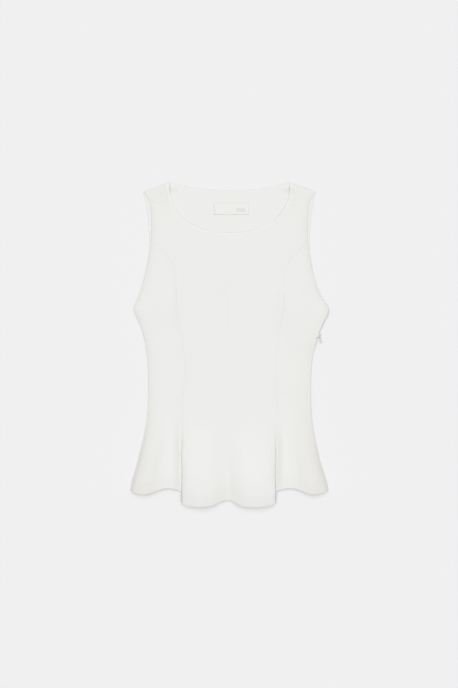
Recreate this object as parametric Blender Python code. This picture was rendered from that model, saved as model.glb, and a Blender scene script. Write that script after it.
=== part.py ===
# Sleeveless peplum top, laid flat and face up on a table.
# X runs to the viewer's right, Y towards the neck and Z up from the table.
# The back lies on the table, the front lies on the back, and the flared hem stands in soft folds.
# Sizes and tables are in millimetres, and MM turns them into metres when a mesh is made.

from collections import namedtuple
from math import atan2, cos, pi, radians, sin

import bmesh
import bpy
import numpy as np
from mathutils import Matrix, Vector

MM = 0.001

# Cloth and gaps
WALL = 1.2
GAP = 0.3
BACK_MID = WALL / 2
FRONT_MID = WALL + GAP + WALL / 2
LOFT = 5.4  # how far the front stands off the back, away from the sewn edges
EDGE_ROUND = 12.0  # how far in from an edge most of that rise takes
NECK_CLOSE = 22.0  # how far out from the neckline the front lies close on the back

# Lengths along the body
SHOULDER_Y = 326.0
TIP_Y = 307.0
UNDERARM_Y = 72.0
FOLDS_START_Y = -120.0
SHOULDER_X = 120.5

# Neck
NECK_HALF = 122.0
NECK_DEPTH = 101.5
NECK_ROUND = 2.3
NECK_CORNER_X = 88.0
BACK_NECK_DROP = 16.4

# The front's edge at the armholes is cut deeper than the back's, which shows beyond it.
Armhole = namedtuple("Armhole", "y front_left front_right back_left back_right")
ARMHOLES = (
    Armhole(UNDERARM_Y, -193.0, 199.0, -193.0, 199.0),
    Armhole(92.0, -185.0, 186.2, -185.0, 186.2),
    Armhole(112.0, -177.4, 176.6, -177.4, 176.6),
    Armhole(134.0, -171.0, 169.8, -171.0, 169.8),
    Armhole(158.0, -165.4, 163.6, -166.0, 164.0),
    Armhole(182.0, -160.4, 159.0, -161.8, 160.6),
    Armhole(206.0, -157.4, 156.2, -160.4, 159.4),
    Armhole(228.0, -156.6, 155.4, -161.0, 159.8),
    Armhole(252.0, -156.6, 155.8, -162.8, 161.6),
    Armhole(272.0, -157.8, 157.2, -165.8, 164.2),
    Armhole(286.0, -160.0, 159.4, -168.4, 166.6),
    Armhole(296.0, -164.6, 163.8, -170.4, 169.0),
    Armhole(TIP_Y, -171.0, 171.0, -172.2, 171.6),
)

# Side seams, from the hem up to the underarm
Side = namedtuple("Side", "y left right")
SIDES = (
    Side(-290.0, -198.4, 196.8),
    Side(-268.0, -193.8, 192.0),
    Side(-236.0, -184.6, 181.8),
    Side(-200.0, -175.6, 173.4),
    Side(-164.0, -168.0, 166.6),
    Side(-132.0, -164.0, 162.6),
    Side(-98.0, -162.6, 161.4),
    Side(-58.0, -162.8, 161.8),
    Side(-24.0, -165.0, 165.0),
    Side(4.0, -169.0, 172.0),
    Side(28.0, -175.2, 181.0),
    Side(48.0, -182.6, 190.0),
    Side(64.0, -190.0, 197.4),
    Side(UNDERARM_Y, -193.0, 199.0),
)

# Seams that shape the front, from the hem up and over the bust to the armhole
Seam = namedtuple("Seam", "y left right")
SEAM_TOP_Y = 206.0
SEAMS = (
    Seam(-314.0, -97.0, 92.0),
    Seam(-218.0, -97.5, 93.0),
    Seam(-168.0, -96.0, 93.6),
    Seam(-128.0, -93.0, 92.8),
    Seam(-78.0, -91.0, 91.6),
    Seam(-32.0, -91.0, 91.6),
    Seam(-4.0, -92.4, 92.8),
    Seam(20.0, -95.6, 96.0),
    Seam(44.0, -100.4, 100.6),
    Seam(72.0, -105.0, 105.6),
    Seam(106.0, -106.4, 107.0),
    Seam(136.0, -108.6, 109.0),
    Seam(156.0, -113.6, 114.0),
    Seam(172.0, -122.0, 122.0),
    Seam(186.0, -134.0, 135.0),
    Seam(197.0, -147.0, 147.0),
    Seam(SEAM_TOP_Y, -157.4, 156.2),
)

# Where the front's hem lies, fold by fold. Share is the place across its own panel at the waist.
Fold = namedtuple("Fold", "x y z share")
LEFT_HEM = (
    Fold(-198.4, -290.0, 2.1, 0.0),  # side seam
    Fold(-192.0, -293.0, 7.0, 0.07),
    Fold(-182.0, -296.2, 11.6, 0.17),
    Fold(-175.0, -297.0, 13.4, 0.24),
    Fold(-168.0, -296.7, 13.6, 0.31),  # crest
    Fold(-160.0, -295.0, 12.2, 0.4),
    Fold(-150.0, -291.6, 9.6, 0.5),
    Fold(-141.0, -288.4, 7.6, 0.58),
    Fold(-130.0, -285.6, 6.8, 0.66),
    Fold(-120.0, -285.3, 6.9, 0.735),  # trough
    Fold(-112.0, -286.4, 6.1, 0.8),
    Fold(-105.0, -288.2, 4.3, 0.855),
    Fold(-99.0, -290.2, 3.0, 0.9),  # runs in under the middle's edge
    Fold(-92.0, -292.6, 2.6, 0.945),
    Fold(-88.5, -294.0, 2.8, 0.965),
    Fold(-86.3, -296.0, 3.8, 0.985),
    Fold(-85.4, -298.0, 5.7, 1.0),  # seam, in the bend
)
MIDDLE_HEM = (
    Fold(-85.4, -298.0, 5.7, 0.0),
    Fold(-86.3, -300.0, 7.4, 0.006),
    Fold(-88.5, -302.0, 8.2, 0.014),
    Fold(-92.0, -304.6, 8.5, 0.026),
    Fold(-95.6, -307.6, 9.6, 0.037),
    Fold(-96.0, -310.0, 11.0, 0.044),  # the fold's edge
    Fold(-93.0, -314.6, 13.0, 0.058),
    Fold(-87.6, -317.8, 15.1, 0.082),
    Fold(-81.0, -319.6, 16.7, 0.112),
    Fold(-74.0, -320.6, 17.6, 0.145),
    Fold(-60.0, -321.4, 17.9, 0.21),  # crest
    Fold(-47.0, -320.8, 17.5, 0.27),
    Fold(-38.0, -319.6, 16.6, 0.31),
    Fold(-31.0, -317.4, 15.0, 0.346),
    Fold(-24.0, -314.0, 12.2, 0.38),
    Fold(-18.0, -311.6, 9.0, 0.41),
    Fold(-12.0, -309.6, 6.1, 0.44),
    Fold(-7.0, -308.8, 4.6, 0.465),
    Fold(-3.0, -308.5, 4.2, 0.485),  # trough
    Fold(1.0, -308.8, 4.7, 0.505),
    Fold(6.0, -310.4, 6.9, 0.53),
    Fold(12.0, -314.4, 10.3, 0.56),
    Fold(19.0, -318.4, 13.4, 0.6),
    Fold(27.0, -320.6, 15.7, 0.643),
    Fold(36.0, -321.6, 17.0, 0.688),
    Fold(54.0, -321.8, 17.9, 0.776),  # crest
    Fold(70.0, -320.8, 17.6, 0.855),
    Fold(77.0, -319.6, 16.7, 0.889),
    Fold(83.6, -317.8, 15.1, 0.919),
    Fold(89.0, -314.4, 13.0, 0.943),
    Fold(92.0, -309.6, 11.0, 0.957),  # the fold's edge
    Fold(91.6, -307.2, 9.6, 0.964),
    Fold(88.0, -304.4, 8.5, 0.974),
    Fold(84.5, -301.6, 8.2, 0.986),
    Fold(82.3, -300.0, 7.4, 0.994),
    Fold(81.4, -298.0, 5.7, 1.0),
)
RIGHT_HEM = (
    Fold(81.4, -298.0, 5.7, 0.0),
    Fold(82.3, -296.0, 3.8, 0.015),
    Fold(84.5, -294.0, 2.8, 0.035),
    Fold(88.0, -292.6, 2.6, 0.055),
    Fold(95.0, -290.2, 3.0, 0.1),  # runs in under the middle's edge
    Fold(101.0, -288.2, 4.3, 0.145),
    Fold(108.0, -286.4, 6.1, 0.2),
    Fold(116.0, -285.1, 6.9, 0.265),  # trough
    Fold(126.0, -285.0, 6.8, 0.34),
    Fold(137.0, -287.6, 7.6, 0.42),
    Fold(146.0, -291.2, 9.6, 0.5),
    Fold(156.0, -295.0, 12.2, 0.6),
    Fold(164.0, -296.7, 13.6, 0.69),  # crest
    Fold(172.0, -296.8, 13.4, 0.76),
    Fold(180.0, -295.6, 11.6, 0.83),
    Fold(190.0, -292.6, 7.0, 0.93),
    Fold(196.8, -290.0, 2.1, 1.0),  # side seam
)

# Low waves of the back's hem, each under a crest of the front
Wave = namedtuple("Wave", "x half_width height")
BACK_WAVES = (
    Wave(-169.0, 15.0, 3.0),
    Wave(-60.0, 27.0, 4.5),
    Wave(54.0, 27.0, 4.5),
    Wave(165.0, 15.0, 3.0),
)
BACK_WAVES_START_Y = -225.0
BACK_HEM_Y = -281.0
BACK_HEM_ROUND = 14.0

# Fullness over the bust, peaking on the side panel next to the seam
BUST_X = 118.0
BUST_Y = 84.0
BUST_HEIGHT = 5.5
BUST_LONG = 48.0
BUST_INNER = 20.0
BUST_OUTER = 42.0

# Side zip: two tapes in the right side seam, open from the underarm down to the slider
TAPE_WIDTH = 10.0
TAPE_THICK = 1.0
TAPE_END_Y = -118.0
ZIP_SHOWS = 2.2  # how far the open zip's edge stands out from the cloth's
ZIP_HIDDEN = 1.4  # how far the closed zip's edge lies in from it
ZIP_RAISE = 0.46  # share of the loft that the stacked tapes keep at the edge
SLIDER_Y = 19.5
SLIDER_LONG = 8.4
SLIDER_THICK = 2.0
SLIDER_WIDE = 4.8
SLIDER_BOTTOM = WALL + GAP
BRIDGE_WIRE = 0.9
BRIDGE_REACH = 2.8
BRIDGE_LONG = 5.2
PULL_LONG = 15.0
PULL_THICK = 0.8
PULL_TIP_RADIUS = 2.1
PULL_EYE_HALF = 1.7
PULL_SLOT_LONG = 3.6
PULL_SLOT_HALF = 0.85
PULL_BAR = 0.9
PULL_SWING = 14.0  # degrees out from straight down

# Woven label inside the back neck
LABEL_X = 3.0
LABEL_Y = 273.5
LABEL_WIDE = 68.0
LABEL_TALL = 24.0
LABEL_THICK = 1.0

# Rows of faces: from the folds' start down to the hem, and up to the top of the seams
HEM_ROWS = (1.0, 0.93, 0.83, 0.71, 0.58, 0.45, 0.31, 0.16)
LEVELS = (-120, -84, -48, -14, 6, 14, 28, 42, 58, UNDERARM_Y, 98, 124, 146, 164, 180, 194, SEAM_TOP_Y)
STRAP_ROWS = 6
BACK_LEVELS = (-120, -70, -20, 6, 14, 28, 42, 58, UNDERARM_Y, 112, 158, 206, 252, 284)


def through(knots, values, at):
    """A smooth curve through a table's rows: cubic pieces, each row's slope taken from its neighbours."""
    knots = np.asarray(knots, float)
    values = np.asarray(values, float)
    at = np.clip(np.asarray(at, float), knots[0], knots[-1])
    slope = np.gradient(values, knots, axis=0)
    i = np.clip(np.searchsorted(knots, at, side="right") - 1, 0, len(knots) - 2)
    width = knots[i + 1] - knots[i]
    u = (at - knots[i]) / width
    if values.ndim > 1:
        width, u = width[..., None], u[..., None]
    start, end = u * u * (2 * u - 3) + 1, u * u * (3 - 2 * u)
    lead, tail = u * (1 - u) ** 2 * width, u * u * (u - 1) * width
    return start * values[i] + end * values[i + 1] + lead * slope[i] + tail * slope[i + 1]


def column(table, name):
    return [getattr(row, name) for row in table]


def outline(y, edge, side):
    """The garment's edge at a height: the armhole's table above the underarm, the side seam's below it."""
    y = np.asarray(y, float)
    above = through(column(ARMHOLES, "y"), column(ARMHOLES, f"{edge}_{side}"), y)
    below = through(column(SIDES, "y"), column(SIDES, side), y)
    return np.where(y > UNDERARM_Y, above, below)


def ease(x):
    x = np.clip(x, 0, 1)
    return x * x * (3 - 2 * x)


def zip_edge(y):
    """The tapes' outer edge: on the outline along the opening, and just inside it from the slider down."""
    y = np.asarray(y, float)
    closed = 1 - ease((y - SLIDER_Y - 6) / 12)
    return through(column(SIDES, "y"), column(SIDES, "right"), y) - ZIP_HIDDEN * closed


def zip_shows(y):
    """How far the cloth's edge lies in from the outline, where the zip is open."""
    y = np.asarray(y, float)
    return ZIP_SHOWS * ease((y - SLIDER_Y + 11) / 6) * ease((UNDERARM_Y + 10 - y) / 12)


def left_edge(y):
    return outline(y, "front", "left")


def right_edge(y):
    return outline(y, "front", "right") - zip_shows(y)


def seam(y, side):
    return through(column(SEAMS, "y"), column(SEAMS, side), y)


def middle_edge(y, side):
    """The middle panel's own edge: the seam up to the armhole, then the armhole."""
    y = np.asarray(y, float)
    edge = left_edge(y) if side == "left" else right_edge(y)
    return np.where(y < SEAM_TOP_Y, seam(y, side), edge)


def neck_y(x):
    """The front neckline's height at a distance from the middle: a rounded scoop."""
    across = np.clip(np.abs(x) / NECK_HALF, 0, 1)
    return SHOULDER_Y - NECK_DEPTH * (1 - across**NECK_ROUND) ** (1 / NECK_ROUND)


def neck_x(y):
    down = np.clip((SHOULDER_Y - y) / NECK_DEPTH, 0, 1)
    return NECK_HALF * (1 - down**NECK_ROUND) ** (1 / NECK_ROUND)


def shoulder_y(x):
    """The shoulder seam's height, carried on in a straight line past its ends."""
    run = abs(ARMHOLES[-1].front_left) - SHOULDER_X
    return TIP_Y + (abs(ARMHOLES[-1].front_left) - np.abs(x)) / run * (SHOULDER_Y - TIP_Y)


def off_the_neck(x, y):
    """0 along the neckline, where the front lies close on the back, rising to 1 away from it."""
    down = np.clip(SHOULDER_Y - y, 0, None) / NECK_DEPTH
    scoop = ((np.abs(x) / NECK_HALF) ** NECK_ROUND + down**NECK_ROUND) ** (1 / NECK_ROUND)
    return 1 - np.exp(-((np.clip(scoop - 1, 0, None) * NECK_DEPTH / NECK_CLOSE) ** 2))


def front_height(x, y):
    """Height of the front's middle surface above the table in the body of the top."""
    from_left = np.clip(x - left_edge(y), 0, None)
    from_right = np.clip(right_edge(y) - x, 0, None)
    from_shoulder = np.clip(shoulder_y(x) - y, 0, None)
    zipped = ZIP_RAISE * ease((y - TAPE_END_Y + 42) / 40) * ease((UNDERARM_Y + 24 - y) / 24)
    left = 1 - np.exp(-from_left / EDGE_ROUND)
    right = 1 - (1 - zipped) * np.exp(-from_right / EDGE_ROUND)
    top = 1 - np.exp(-from_shoulder / EDGE_ROUND)
    off = np.abs(x) - BUST_X
    spread = np.where(off < 0, BUST_INNER, BUST_OUTER)
    bust = BUST_HEIGHT * np.exp(-((off / spread) ** 2) - ((y - BUST_Y) / BUST_LONG) ** 2)
    return FRONT_MID + (LOFT * off_the_neck(x, y) + bust) * left * right * top


def hem_path(table):
    """Distances along a panel's hem from row to row of its table."""
    steps = np.diff([(fold.x, fold.z) for fold in table], axis=0)
    return np.concatenate([[0], np.cumsum(np.hypot(*steps.T))])


def spread_columns(table, faces, shares=()):
    """Places along a hem: every row of the table, split into about so many faces, and the given shares."""
    path = hem_path(table)
    length = path[-1] / faces
    found = [np.linspace(a, b, max(1, round((b - a) / length)) + 1)[:-1] for a, b in zip(path, path[1:])]
    extra = np.interp(shares, column(table, "share"), path)
    places = np.concatenate([*found, [path[-1]]])
    for place in extra:
        places[np.abs(places - place).argmin()] = place
    return places


def panel_rows(table, places, left, right):
    """Rows of points on one front panel, from the hem up to the top of the seams."""
    path = hem_path(table)
    hem = through(path, [(fold.x, fold.y, fold.z) for fold in table], places)
    share = np.interp(places, path, column(table, "share"))

    def across(y):
        return left(y) + (right(y) - left(y)) * share

    rows = []
    for drop in HEM_ROWS:
        y = FOLDS_START_Y + (hem[:, 1] - FOLDS_START_Y) * drop
        x = across(y) + drop**0.95 * (hem[:, 0] - across(hem[:, 1]))
        rise = drop**1.15
        z = front_height(across(y), y) * (1 - rise) + hem[:, 2] * rise
        rows.append(np.stack([x, y, z], axis=1))
    for level in LEVELS:
        y = np.full(len(places), float(level))
        x = across(y)
        rows.append(np.stack([x, y, front_height(x, y)], axis=1))
    return rows, share


def link(name, mesh, material):
    mesh.materials.append(material)
    obj = bpy.data.objects.new(name, mesh)
    bpy.context.scene.collection.objects.link(obj)
    return obj


def sewn_whole(blocks):
    """One middle surface from all blocks of rows, each face knowing the panel that it belongs to."""
    bm = bmesh.new()
    panel = bm.faces.layers.int.new("panel")
    for number, rows in blocks:
        verts = [[bm.verts.new(point) for point in row] for row in rows]
        for low, high in zip(verts, verts[1:]):
            for i in range(len(low) - 1):
                face = bm.faces.new((low[i], low[i + 1], high[i + 1], high[i]))
                face[panel] = number
    bmesh.ops.remove_doubles(bm, verts=bm.verts, dist=0.01)
    bm.normal_update()
    return bm, panel


def off_the_seam(vert, faces, panel):
    """A panel's corner, moved half the gap away from a seam that runs through it."""
    seams = [e for e in vert.link_edges if len({f[panel] for f in e.link_faces}) > 1]
    if not seams:
        return vert.co.copy()
    ends = [e.other_vert(vert).co for e in seams]
    along = ends[0] - (ends[1] if len(ends) > 1 else vert.co)
    inward = vert.normal.cross(along).normalized()
    own = {e for f in faces for e in f.edges if vert in e.verts} - set(seams)
    if inward.dot(sum((e.other_vert(vert).co - vert.co for e in own), Vector())) < 0:
        inward.negate()
    return vert.co + inward * GAP / 2


def cut_apart(names, blocks, material):
    """Panels of cloth with a wall's thickness, square across their seams, from one middle surface."""
    bm, panel = sewn_whole(blocks)
    for number, name in enumerate(names):
        faces = [face for face in bm.faces if face[panel] == number]
        near = {}
        for face in faces:
            for vert in face.verts:
                near.setdefault(vert, []).append(face)
        wall = bmesh.new()
        low, high = {}, {}
        for vert, own in near.items():
            place = off_the_seam(vert, own, panel)
            low[vert] = wall.verts.new((place - vert.normal * WALL / 2) * MM)
            high[vert] = wall.verts.new((place + vert.normal * WALL / 2) * MM)
        for face in faces:
            wall.faces.new([high[v] for v in face.verts])
            wall.faces.new([low[v] for v in reversed(face.verts)])
            for loop in face.loops:
                if sum(f[panel] == number for f in loop.edge.link_faces) == 1:
                    a, b = loop.vert, loop.link_loop_next.vert
                    wall.faces.new((low[a], low[b], high[b], high[a]))
        mesh = bpy.data.meshes.new(name)
        wall.to_mesh(mesh)
        wall.free()
        mesh.shade_smooth()
        mesh.set_sharp_from_angle(angle=radians(50))
        link(name, mesh, material)
    bm.free()


def material(name, colour, roughness, metallic=0.0):
    found = bpy.data.materials.new(name)
    found.use_nodes = True
    shader = found.node_tree.nodes["Principled BSDF"]
    shader.inputs["Base Color"].default_value = (*colour, 1)
    shader.inputs["Roughness"].default_value = roughness
    shader.inputs["Metallic"].default_value = metallic
    return found


def side_panel(table, left, right):
    """A side panel of the front, ending in a point where its seam meets the armhole."""
    rows, _ = panel_rows(table, spread_columns(table, 15), left, right)
    rows[-1][:] = rows[-1].mean(axis=0)
    return rows


def strap(rows, span, side):
    """Rows from the split under the neckline up to the shoulder seam, from armhole to neckline."""
    base = rows[-1][span]
    flip = 1 if side == "left" else -1
    outer = base[0] if side == "left" else base[-1]
    share = (base[:, 0] - base[0, 0]) / (base[-1, 0] - base[0, 0])
    if side == "right":
        share = 1 - share
    corner_y = neck_y(NECK_CORNER_X)
    found = [base]
    for step in range(1, STRAP_ROWS + 1):
        up = step / STRAP_ROWS
        arm_y = outer[1] + (TIP_Y - outer[1]) * up
        arm_x = left_edge(arm_y) if side == "left" else right_edge(arm_y)
        edge_y = corner_y + (SHOULDER_Y - corner_y) * (1 - (1 - up) ** 1.25)
        edge_x = -flip * (neck_x(edge_y) - ease(up) * (NECK_HALF - SHOULDER_X))
        x = arm_x + (edge_x - arm_x) * share
        y = arm_y + (edge_y - arm_y) * share
        found.append(np.stack([x, y, front_height(x, y)], axis=1))
    return found


def middle_panel():
    """The middle panel of the front: hem to neckline, with a strap to each shoulder."""
    wide = right_edge(SEAM_TOP_Y + 26) - left_edge(SEAM_TOP_Y + 26)
    corners = [(x - left_edge(SEAM_TOP_Y + 26)) / wide for x in (-NECK_CORNER_X, NECK_CORNER_X)]
    places = spread_columns(MIDDLE_HEM, 34, corners)
    rows, share = panel_rows(
        MIDDLE_HEM, places, lambda y: middle_edge(y, "left"), lambda y: middle_edge(y, "right")
    )
    split = [int(np.abs(share - corner).argmin()) for corner in corners]
    arm_y = SEAM_TOP_Y + 26
    corner_y = neck_y(NECK_CORNER_X)
    for part in (0.5, 1.0):
        x = left_edge(SEAM_TOP_Y + 26 * part) + wide * share
        beyond = np.clip((np.abs(x) - NECK_CORNER_X) / (156 - NECK_CORNER_X), 0, 1)
        top = np.where(np.abs(x) > NECK_CORNER_X, corner_y + (arm_y - corner_y) * beyond, neck_y(x))
        y = SEAM_TOP_Y + (top - SEAM_TOP_Y) * part
        x[0], x[-1] = left_edge(y[0]), right_edge(y[-1])
        rows.append(np.stack([x, y, front_height(x, y)], axis=1))
    spans = {"left": slice(0, split[0] + 1), "right": slice(split[1], None)}
    return [rows] + [strap(rows, span, side) for side, span in spans.items()]


def front(crepe):
    left = side_panel(LEFT_HEM, left_edge, lambda y: seam(y, "left"))
    right = side_panel(RIGHT_HEM, lambda y: seam(y, "right"), right_edge)
    blocks = [(0, left), (1, right)] + [(2, rows) for rows in middle_panel()]
    cut_apart(("front_side_left", "front_side_right", "front_middle"), blocks, crepe)


def back_hem(x):
    """The back's hem: a little higher than the front's, which hides it, and level with it at the sides."""
    from_side = np.minimum(x - SIDES[0].left, SIDES[0].right - x)
    return BACK_HEM_Y + (SIDES[0].y - BACK_HEM_Y) * np.exp(-((from_side / BACK_HEM_ROUND) ** 2))


def back_height(x, y):
    drop = ease((BACK_WAVES_START_Y - y) / (BACK_WAVES_START_Y - BACK_HEM_Y))
    rise = sum(w.height * np.exp(-(((x - w.x) / w.half_width * 1.5) ** 2)) for w in BACK_WAVES)
    rise = np.clip(rise - 0.15, 0, None)
    return BACK_MID + rise * drop


def back(crepe):
    """The back, one piece: it rests on the table, and its hem lifts in low waves."""
    tip = ARMHOLES[-1]
    shoulder = (SHOULDER_X + tip.back_left) / (tip.back_left - tip.back_right)
    share = np.concatenate(
        [
            np.linspace(0, shoulder, 6)[:-1],
            np.linspace(shoulder, 1 - shoulder, 21)[:-1],
            np.linspace(1 - shoulder, 1, 6),
        ]
    )
    wide = tip.back_right - tip.back_left
    share[5] = (-SHOULDER_X - tip.back_left) / wide
    share[-6] = (SHOULDER_X - tip.back_left) / wide

    def across(y):
        low, high = outline(y, "back", "left"), outline(y, "back", "right") - zip_shows(y)
        return low + (high - low) * share

    rows = []
    hem = back_hem(across(np.full(len(share), SIDES[0].y)))
    for drop in (1.0, 0.86, 0.7, 0.52, 0.34, 0.16):
        y = FOLDS_START_Y + (hem - FOLDS_START_Y) * drop
        x = across(y)
        rows.append(np.stack([x, y, back_height(x, y)], axis=1))
    for level in BACK_LEVELS:
        y = np.full(len(share), float(level))
        x = across(y)
        rows.append(np.stack([x, y, back_height(x, y)], axis=1))
    x = tip.back_left + (tip.back_right - tip.back_left) * share
    neck = SHOULDER_Y - BACK_NECK_DROP * (1 - np.abs(x / SHOULDER_X) ** 2.1)
    y = np.where(np.abs(x) > SHOULDER_X, shoulder_y(x), neck)
    y[0], y[-1] = TIP_Y, TIP_Y
    rows.append(np.stack([x, y, back_height(x, y)], axis=1))
    cut_apart(("back",), [(0, rows)], crepe)


def box_strip(name, outer, inner, low, high, material_):
    """A closed strip between two lines seen from above, from height low to height high."""
    bm = bmesh.new()
    rings = []
    for (ox, oy), (ix, iy) in zip(outer, inner):
        corners = ((ox, oy, low), (ox, oy, high), (ix, iy, high), (ix, iy, low))
        rings.append([bm.verts.new([c * MM for c in corner]) for corner in corners])
    for a, b in zip(rings, rings[1:]):
        for i in range(4):
            j = (i + 1) % 4
            bm.faces.new((a[i], a[j], b[j], b[i]))
    bm.faces.new(rings[0][::-1])
    bm.faces.new(rings[-1])
    bmesh.ops.recalc_face_normals(bm, faces=bm.faces)
    mesh = bpy.data.meshes.new(name)
    bm.to_mesh(mesh)
    bm.free()
    return link(name, mesh, material_)


def zip_tapes(tape):
    """Two flat tapes, one on the back and one under the front, along the right side seam."""
    y = np.linspace(TAPE_END_Y, UNDERARM_Y - 5, 20)
    outer = np.stack([zip_edge(y), y], axis=1)
    inner = outer - (TAPE_WIDTH, 0)
    low = WALL + GAP
    box_strip("zip_tape_back", outer, inner, low, low + TAPE_THICK, tape)
    low += TAPE_THICK + GAP
    box_strip("zip_tape_front", outer, inner, low, low + TAPE_THICK, tape)


def slider_frame():
    """The slider's centre, the way down along the zip and the way out from the cloth, seen from above."""
    half = SLIDER_LONG / 2
    run = Vector((float(zip_edge(SLIDER_Y - half) - zip_edge(SLIDER_Y + half)), -2 * half)).normalized()
    x = float(zip_edge(SLIDER_Y)) - (GAP + 0.1 + SLIDER_THICK / 2) / run.y
    out = Vector((-run.y, run.x))
    middle = SLIDER_BOTTOM + SLIDER_WIDE / 2
    return Vector((x, SLIDER_Y, middle)), run, out


def placed(obj, at, turn):
    obj.data.transform(Matrix.Scale(MM, 4))
    obj.matrix_world = Matrix.Translation(at * MM) @ Matrix.Rotation(turn, 4, "Z")
    return obj


def block(name, size, material_, bevel=0.0):
    bm = bmesh.new()
    bmesh.ops.create_cube(bm, size=1)
    bmesh.ops.scale(bm, vec=size, verts=bm.verts)
    if bevel:
        bmesh.ops.bevel(bm, geom=bm.edges[:], offset=bevel, segments=2, profile=0.5, affect="EDGES")
    mesh = bpy.data.meshes.new(name)
    bm.to_mesh(mesh)
    bm.free()
    return link(name, mesh, material_)


def extruded(name, loop, thick, material_):
    """A flat loop of points in the XY plane, thickened both ways along Z."""
    bm = bmesh.new()
    low = [bm.verts.new((x, y, -thick / 2)) for x, y in loop]
    high = [bm.verts.new((x, y, thick / 2)) for x, y in loop]
    bm.faces.new(low[::-1])
    bm.faces.new(high)
    for i in range(len(loop)):
        j = (i + 1) % len(loop)
        bm.faces.new((low[i], low[j], high[j], high[i]))
    bmesh.ops.recalc_face_normals(bm, faces=bm.faces)
    mesh = bpy.data.meshes.new(name)
    bm.to_mesh(mesh)
    bm.free()
    return link(name, mesh, material_)


def joined(obj, other, operation):
    """Applies a Boolean with a helper object, and leaves the helper out of the model."""
    cut = obj.modifiers.new(operation.lower(), "BOOLEAN")
    cut.operation = operation
    cut.object = other
    cut.solver = "EXACT"
    other.hide_render = True
    other.display_type = "WIRE"


def arc(centre, radius, start, end, steps):
    angles = [radians(start + (end - start) * i / steps) for i in range(steps + 1)]
    return [(centre[0] + radius * cos(a), centre[1] + radius * sin(a)) for a in angles]


def zip_slider(metal):
    """The slider's body and the bridge that the pull swings on. Its X is down the zip, its Y out."""
    at, run, _ = slider_frame()
    turn = atan2(run.y, run.x)
    body = placed(block("zip_slider", (SLIDER_LONG, SLIDER_THICK, SLIDER_WIDE), metal, bevel=0.5), at, turn)
    face = SLIDER_THICK / 2
    half, reach, wire = BRIDGE_LONG / 2, face + BRIDGE_REACH, BRIDGE_WIRE
    root = face - 0.6
    bend = 1.1
    outer = [(-half, root)] + arc((-half + bend, reach - bend), bend, 180, 90, 4)
    outer += arc((half - bend, reach - bend), bend, 90, 0, 4) + [(half, root)]
    inner = [(half - wire, root)] + arc((half - bend, reach - bend), bend - wire, 0, 90, 2)
    inner += arc((-half + bend, reach - bend), bend - wire, 90, 180, 2) + [(-half + wire, root)]
    bridge = placed(extruded("bridge", outer + inner, wire, metal), at, turn)
    joined(body, bridge, "UNION")


def pull_axis():
    """The point, seen from above, that the pull turns round: inside the bridge, at its lower end."""
    at, run, out = slider_frame()
    down = BRIDGE_LONG / 2 - BRIDGE_WIRE - PULL_BAR
    away = SLIDER_THICK / 2 + (BRIDGE_REACH - BRIDGE_WIRE) / 2
    place = Vector((at.x, at.y)) + run * down + out * away
    return Vector((place.x, place.y, at.z))


def zip_pull(metal):
    """A drop-shaped tab standing on its edge, with a slot that the bridge passes through."""
    start = -PULL_BAR / 2
    centre = PULL_LONG - PULL_TIP_RADIUS + start
    loop = [(start, -PULL_EYE_HALF), (PULL_SLOT_LONG + 1.6, -PULL_EYE_HALF)]
    loop += arc((centre, 0), PULL_TIP_RADIUS, -80, 80, 10)
    loop += [(PULL_SLOT_LONG + 1.6, PULL_EYE_HALF), (start, PULL_EYE_HALF)]
    tab = extruded("zip_pull", loop, PULL_THICK, metal)
    slot = block("pull_slot", (PULL_SLOT_LONG, 2 * PULL_SLOT_HALF, 3 * PULL_THICK), metal)
    slot.data.transform(Matrix.Translation((PULL_BAR / 2 + PULL_SLOT_LONG / 2, 0, 0)))
    turn = radians(PULL_SWING - 90)
    for obj in (tab, slot):
        obj.data.transform(Matrix.Scale(MM, 4) @ Matrix.Rotation(pi / 2, 4, "X"))
        obj.matrix_world = Matrix.Translation(pull_axis() * MM) @ Matrix.Rotation(turn, 4, "Z")
    joined(tab, slot, "DIFFERENCE")


def neck_label(woven):
    """A plain woven label lying on the inside of the back, just under the neckline."""
    obj = block("neck_label", (LABEL_WIDE, LABEL_TALL, LABEL_THICK), woven)
    at = Vector((LABEL_X, LABEL_Y, WALL + GAP + LABEL_THICK / 2))
    placed(obj, at, 0)


def centre_on_origin():
    """Moves the whole top so that the origin is under the middle of its bounding box."""
    bpy.context.view_layer.update()
    graph = bpy.context.evaluated_depsgraph_get()
    shown = [obj for obj in bpy.context.scene.objects if not obj.hide_render]
    corners = []
    for obj in shown:
        ready = obj.evaluated_get(graph)
        corners += [ready.matrix_world @ vert.co for vert in ready.data.vertices]
    places = np.array(corners)
    middle = (places.min(axis=0) + places.max(axis=0)) / 2
    for obj in bpy.context.scene.objects:
        obj.matrix_world = Matrix.Translation((-middle[0], -middle[1], 0)) @ obj.matrix_world


def main():
    for obj in list(bpy.data.objects):
        bpy.data.objects.remove(obj)
    crepe = material("crepe", (0.86, 0.85, 0.82), 0.85)
    tape = material("zip_tape", (0.78, 0.77, 0.74), 0.8)
    metal = material("zip_metal", (0.62, 0.62, 0.6), 0.35, metallic=0.9)
    woven = material("label", (0.88, 0.87, 0.84), 0.6)
    back(crepe)
    front(crepe)
    neck_label(woven)
    zip_tapes(tape)
    zip_slider(metal)
    zip_pull(metal)
    centre_on_origin()


main()
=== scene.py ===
# An ivory sleeveless peplum top, laid flat and face up.
# Tables are in millimetres and in the top's own layout: x to the viewer's right, y towards the neck, z up.
from math import pi, radians

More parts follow.
